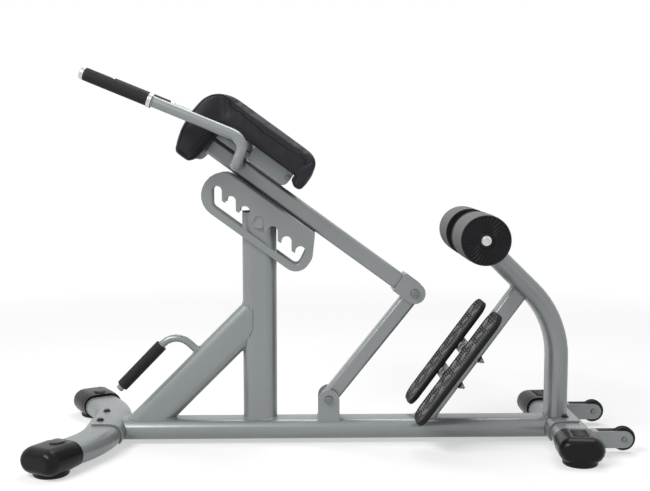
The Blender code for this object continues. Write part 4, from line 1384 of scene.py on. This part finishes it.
def fitted_fasteners():
    """Fit the bolts and nuts of the saddles, the pad rail, the straps and the forks."""
    saddle_bolts("front", *FRONT_BOLTS)
    saddle_bolts("rear", *REAR_BOLTS)
    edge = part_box("pad_rail")[1].y
    places = [(boom_point(*RAIL_BOLT, sign * edge), ACROSS * sign) for side, sign in SIDES]
    bolts("pad_rail_bolts", places, "pivot_steel", "boom", 0.0060, 0.0085, 0.004)
    under = strap_places(STRAP_UNDERSIDE, NUT_OFFSETS, -STEM_OUT)
    nuts_on("footplate", under, (0.0062, 0.0088, 0.005), (0.0030, 0.0031, 0.006), 0.004)
    over = strap_places(STRAP_TOP, (STRAP_BOLT_OFFSET,), STEM_OUT)
    bolts("strap_bolts", over, "pivot_steel", "frame", 0.0078, 0.0108, 0.0075)
    behind = strap_places(-STRAP_UNDERSIDE, (STRAP_BOLT_OFFSET,), -STEM_OUT)
    nuts_on("strap", behind, (0.0072, 0.0100, 0.0065), (0.0038, 0.0039, 0.005), 0.0075)
    hexagon_bolt("lower_pivot_bolt", 0.0078, 0.0080, "pivot_steel")
    hexagon_bolt("upper_pivot_bolt", 0.0078, 0.0080, "pivot_steel")
    for side, sign in SIDES:
        hexagon_bolt(f"wheel_bolt_{side}", 0.0048, 0.0040, "pivot_steel")
    pad_spacer()


def pad_spacer():
    """Fit the flat tube that packs the pad's nose up off the boom."""
    floor, top = SPACER_HEIGHTS
    outline = plate_outline((top - floor) / 2, SPACER_HALF_WIDTH, 0.004, 4)
    middle = (floor + top) / 2
    rings = [[boom_point(along, middle + x, y) for x, y in outline] for along in SPACER_SPAN]
    spacer = lofted("pad_spacer", rings, 50)
    dressed(spacer, "frame_paint", "boom", "frame_paint")


WELDS = (
    ("diagonal_brace", "upright"),
    ("diagonal_brace", "main_tube"),
    ("upright", "main_tube"),
    ("link_bracket", "main_tube"),
    ("rear_post", "main_tube"),
    ("footplate_stem", "main_tube"),
    ("footplate_stem", "rear_post"),
    ("boom_clevis", "boom_tube"),
    ("carry_handle", "diagonal_brace"),
    ("roller_hub", "rear_post"),
    ("handlebar", "boom_tube"),
)


def seam_between(first, second):
    """Return the longest line of a node's cut edges that runs along another node."""
    body = merged(first)
    body.verts.index_update()
    target = surface(frame["nodes"][second])
    near = {
        vertex.index: target.find_nearest(vertex.co)[3] < WELD_GAP for vertex in body.verts
    }
    place = {vertex.index: vertex.co.copy() for vertex in body.verts}
    edges = []
    for edge in body.edges:
        ends = [vertex.index for vertex in edge.verts]
        if len(edge.link_faces) != 2 or not all(near[end] for end in ends):
            continue
        if edge.calc_face_angle() > WELD_EDGE_ANGLE:
            edges.append(tuple(ends))
    body.free()
    lines = [[place[key] for key in loop] for loop in chained(edges)]
    lines = [line for line in lines if len(line) > 2]
    return max(lines, key=length_of) if lines else None


def laid_welds(sizes):
    """Lay a rippled bead where the tubes and plates meet."""
    width = sizes.weld_width
    bead = {"Spacing": sizes.weld_pitch, "Width": width, "Height": width * 0.9}
    bead.update(Length=0.0022, Jitter=0.10, Seed=11)
    for first, second in WELDS:
        line = seam_between(first, second)
        if line is None:
            continue
        closed = (line[0] - line[-1]).length < WELD_CLOSING
        path = path_mesh("weld", evenly(line, WELD_STEP, closed), closed)
        made = grown("beads", f"weld_{first}_to_{second}", path, "frame_paint", **bead)
        dressed(made, "frame_paint", BODY_OF[first], "frame_paint")


# Studio.


def seen_directly(graph):
    """Return 1 for camera, glossy and transmission rays and 0 for the rest."""
    rays = graph.add("ShaderNodeLightPath")
    outputs = rays.socket.node.outputs
    glossy = Value(graph, outputs["Is Glossy Ray"])
    through = Value(graph, outputs["Is Transmission Ray"])
    total = Value(graph, outputs["Is Camera Ray"]) + glossy + through
    return graph.add("ShaderNodeClamp", {}, {"Value": total})


def floor_material():
    """Pale floor that keeps the bench's shadow near it and fades to white far off."""
    paper = Finish("studio_floor")
    away = paper.add("ShaderNodeVectorMath", {"operation": "LENGTH"}, {0: paper.place}, "Value")
    fade = paper.ramp(away / FADE_REACH, (FADE_SPAN[0], 0.0), (FADE_SPAN[1], 1.0))
    tones = [(tone, tone, tone, 1) for tone in FLOOR_TONES]
    tone = paper.mixed(paper.noise(300.0), *tones)
    matt = paper.add("ShaderNodeBsdfDiffuse", {}, {"Color": tone})
    seen = seen_directly(paper)
    white = paper.add("ShaderNodeEmission", {}, {"Color": WHITE, "Strength": 1.0})
    lift = paper.add("ShaderNodeEmission", {}, {"Color": WHITE, "Strength": seen * FLOOR_LIFT})
    lit = paper.add("ShaderNodeAddShader", {}, {0: matt, 1: lift})
    mix = paper.add("ShaderNodeMixShader", {}, {0: fade * seen, 1: lit, 2: white})
    paper.add("ShaderNodeOutputMaterial", {}, {"Surface": mix})
    return paper.material


def studio_floor():
    """Lay the floor."""
    body = bmesh.new()
    bmesh.ops.create_grid(body, x_segments=1, y_segments=1, size=FLOOR_HALF)
    floor = built("studio_floor", body)
    floor.data.materials.append(floor_material())


def studio_world():
    """Light the bench evenly and show white behind it."""
    world = bpy.data.worlds.new("studio_world")
    world.use_nodes = True
    bpy.context.scene.world = world
    sky = Graph(world.node_tree)
    dim = sky.add("ShaderNodeBackground", {}, {"Color": WHITE, "Strength": SKY_LIGHT})
    white = sky.add("ShaderNodeBackground", {}, {"Color": WHITE, "Strength": 1.0})
    mix = sky.add("ShaderNodeMixShader", {}, {0: seen_directly(sky), 1: dim, 2: white})
    sky.add("ShaderNodeOutputWorld", {}, {"Surface": mix})


LAMPS = (
    ("key_lamp", (-1.9, -1.8, 2.8), (2.2, 0.9), 82.0),
    ("fill_lamp", (2.4, -2.4, 1.7), (1.0, 1.6), 3.0),
    ("top_lamp", (0.5, 0.9, 3.2), (2.6, 1.2), 46.0),
)


def studio_lamps():
    """Hang the soft lamps, all turned to the bench."""
    aim = (CAD_BOX[0] + CAD_BOX[1]) / 2
    for name, place, size, power in LAMPS:
        data = bpy.data.lights.new(name, "AREA")
        data.shape = "RECTANGLE"
        data.size, data.size_y = size
        data.energy = power
        lamp = bpy.data.objects.new(name, data)
        lamp.location = place
        lamp.rotation_euler = (aim - Vector(place)).to_track_quat("-Z", "Y").to_euler()
        bpy.context.scene.collection.objects.link(lamp)


def studio_camera():
    """Stand the camera where the photograph was taken."""
    data = bpy.data.cameras.new("studio_camera")
    data.lens = CAMERA_LENS
    data.sensor_width = CAMERA_SENSOR
    camera = bpy.data.objects.new("studio_camera", data)
    camera.location = CAMERA_PLACE
    camera.rotation_euler = (CAMERA_PITCH, 0, CAMERA_YAW)
    bpy.context.scene.collection.objects.link(camera)
    bpy.context.scene.camera = camera


# Operators.


class PrepareFinishes(bpy.types.Operator):
    """Make the materials and the geometry trees that the pieces use"""

    bl_idname = "bench.prepare_finishes"
    bl_label = "Prepare Finishes"

    def execute(self, context):
        make_finishes(context.scene.bench_colours)
        make_growths()
        return {"FINISHED"}


class FinishFrame(bpy.types.Operator):
    """Round the edges of the rigid nodes and coat them"""

    bl_idname = "bench.finish_frame"
    bl_label = "Finish Frame"

    def execute(self, context):
        finish_nodes(context.scene.bench_sizes)
        return {"FINISHED"}


class SewPad(bpy.types.Operator):
    """Stuff the hip pad and sew its piping, seams and stitches"""

    bl_idname = "bench.sew_pad"
    bl_label = "Sew Hip Pad"

    def execute(self, context):
        sewn_pad(context.scene.bench_sizes)
        return {"FINISHED"}


class TurnRollers(bpy.types.Operator):
    """Turn the foam rollers, their ribbed discs and the axle"""

    bl_idname = "bench.turn_rollers"
    bl_label = "Turn Leg Rollers"

    def execute(self, context):
        rolled_foam(context.scene.bench_sizes)
        return {"FINISHED"}


class MouldBoots(bpy.types.Operator):
    """Add the raised pads and ribs of the foot boots"""

    bl_idname = "bench.mould_boots"
    bl_label = "Mould Boots"

    def execute(self, context):
        moulded_boots()
        return {"FINISHED"}


class TreadPlates(bpy.types.Operator):
    """Cover the footplates with raised tread"""

    bl_idname = "bench.tread_plates"
    bl_label = "Tread Footplates"

    def execute(self, context):
        plate_treads()
        return {"FINISHED"}


class RingGrips(bpy.types.Operator):
    """Add the moulded rings of the hand grips"""

    bl_idname = "bench.ring_grips"
    bl_label = "Ring Grips"

    def execute(self, context):
        wrapped_grips(context.scene.bench_sizes)
        return {"FINISHED"}


class TurnWheels(bpy.types.Operator):
    """Turn the transport wheels"""

    bl_idname = "bench.turn_wheels"
    bl_label = "Turn Wheels"

    def execute(self, context):
        turned_wheels()
        return {"FINISHED"}


class FitFasteners(bpy.types.Operator):
    """Fit the small bolts and nuts"""

    bl_idname = "bench.fit_fasteners"
    bl_label = "Fit Fasteners"

    def execute(self, context):
        fitted_fasteners()
        return {"FINISHED"}


class LayWelds(bpy.types.Operator):
    """Lay the weld beads"""

    bl_idname = "bench.lay_welds"
    bl_label = "Lay Welds"

    def execute(self, context):
        laid_welds(context.scene.bench_sizes)
        return {"FINISHED"}


class SetStage(bpy.types.Operator):
    """Lay the floor, light the studio and stand the camera"""

    bl_idname = "bench.set_stage"
    bl_label = "Set Stage"

    def execute(self, context):
        studio_floor()
        studio_world()
        studio_lamps()
        studio_camera()
        context.scene.view_settings.view_transform = "Standard"
        return {"FINISHED"}


STEPS = (
    PrepareFinishes,
    FinishFrame,
    SewPad,
    TurnRollers,
    MouldBoots,
    TreadPlates,
    RingGrips,
    TurnWheels,
    FitFasteners,
    LayWelds,
    SetStage,
)


class BenchPanel(bpy.types.Panel):
    """Lists the dressing's sizes, colours and steps."""

    bl_idname = "VIEW3D_PT_bench_dressing"
    bl_label = "Bench Dressing"
    bl_space_type = "VIEW_3D"
    bl_region_type = "UI"
    bl_category = "Bench"

    def draw(self, context):
        layout = self.layout
        for group in (context.scene.bench_sizes, context.scene.bench_colours):
            for key in group.__annotations__:
                layout.prop(group, key)
        for step in STEPS:
            layout.operator(step.bl_idname)


CLASSES = (BenchSizes, BenchColours) + STEPS + (BenchPanel,)


def register():
    for item in CLASSES:
        bpy.utils.register_class(item)
    bpy.types.Scene.bench_sizes = PointerProperty(type=BenchSizes)
    bpy.types.Scene.bench_colours = PointerProperty(type=BenchColours)


def unregister():
    del bpy.types.Scene.bench_colours
    del bpy.types.Scene.bench_sizes
    for item in reversed(CLASSES):
        bpy.utils.unregister_class(item)


def main():
    """Run every step."""
    register()
    for step in STEPS:
        group, name = step.bl_idname.split(".")
        getattr(getattr(bpy.ops, group), name)()


if __name__ == "__main__":
    main()
